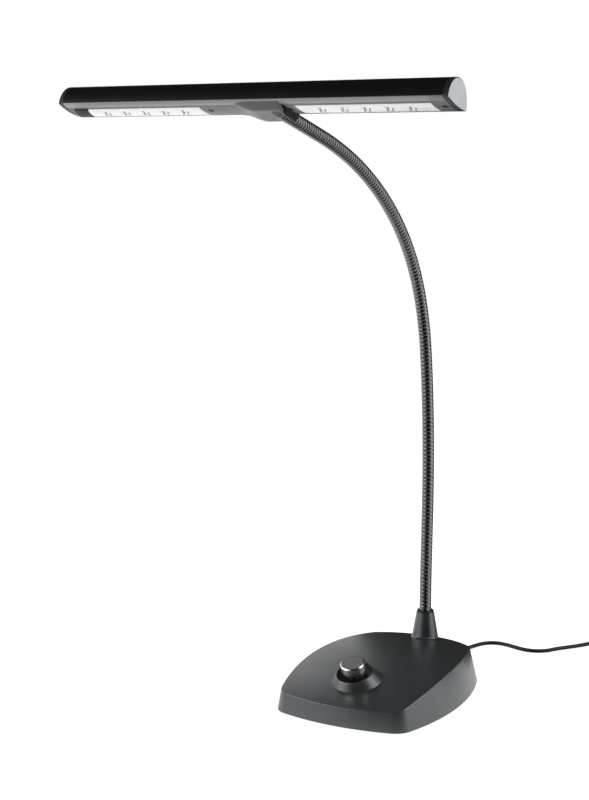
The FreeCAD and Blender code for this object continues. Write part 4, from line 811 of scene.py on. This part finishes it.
# The cards: from and to angle, (radius, height) of the near and of the far arc, and the level
CARDS = {
    "front_card": (-38.0, 57.0, (1.0, 0.0), (1.0, 1.4), 0.02),
    "front_cloth": (-38.0, 50.0, (0.19, 0.001), (1.0, 0.001), 0.05),
    "left_cloth": (-112.0, -38.0, (0.32, 0.001), (1.2, 0.001), 0.3),
    "rear_card": (116.0, 182.0, (0.42, 0.0), (0.42, 1.2), 0.02),
    "rear_cloth": (124.0, 182.0, (0.17, 0.001), (0.42, 0.001), 0.10),
    "rear_left_card": (189.0, 238.0, (0.75, 0.0), (0.75, 0.75), 1.3),
    "high_card": (45.0, 85.0, (0.70, 0.52), (0.70, 1.2), 2.4),
    "ceiling_card": (0.0, 360.0, (0.0, 1.4), (2.2, 1.3), 0.03),
}


def card_material(name, level):
    """A plain glow."""
    material = bpy.data.materials.new(name)
    material.use_nodes = True
    tree = material.node_tree
    tree.nodes.clear()
    glow = tree.nodes.new("ShaderNodeEmission")
    glow.inputs["Strength"].default_value = level
    output = tree.nodes.new("ShaderNodeOutputMaterial")
    tree.links.new(glow.outputs["Emission"], output.inputs["Surface"])
    return material


def studio_card(name, from_angle, to_angle, near, far, level):
    """A card between two arcs round the lamp, which only reflections see."""
    steps = max(int(abs(to_angle - from_angle) / CARD_STEP), 1)
    vertices = []
    for step in range(steps + 1):
        way = toward(from_angle + (to_angle - from_angle) * step / steps, 0.0)
        for radius, height in (near, far):
            vertices.append(CARD_CENTRE + way * radius + Vector((0.0, 0.0, height)))
    faces = [(2 * step, 2 * step + 2, 2 * step + 3, 2 * step + 1) for step in range(steps)]
    card = add_object(name, mesh_from(vertices, faces, name, smooth=False), None,
                      material=card_material(name, level))
    card.visible_camera = False
    card.visible_diffuse = False
    card.visible_transmission = False
    card.visible_shadow = False


for name, settings in CARDS.items():
    studio_card(name, *settings)

LAMP_AIM = Vector((0.0, -0.12, 0.25))


def soft_box(name, azimuth, elevation, distance, size, power, reflected=True):
    """A soft box of (width, height) that faces the lamp's middle."""
    data = bpy.data.lights.new(name, "AREA")
    data.shape = "RECTANGLE"
    data.size, data.size_y = size
    data.energy = power
    box = bpy.data.objects.new(name, data)
    scene.collection.objects.link(box)
    box.location = LAMP_AIM + toward(azimuth, elevation) * distance
    box.rotation_euler = (LAMP_AIM - box.location).to_track_quat("-Z", "Y").to_euler()
    box.visible_camera = False
    box.visible_glossy = reflected


soft_box("left_box", -82.0, 22.0, distance=1.7, size=(1.3, 1.5), power=15.0)
soft_box("right_box", 80.0, 20.0, distance=1.7, size=(1.1, 1.5), power=11.0)
soft_box("top_box", 0.0, 84.0, distance=1.6, size=(1.4, 1.2), power=7.0, reflected=False)

scene.view_settings.view_transform = "Standard"

bpy.context.view_layer.update()
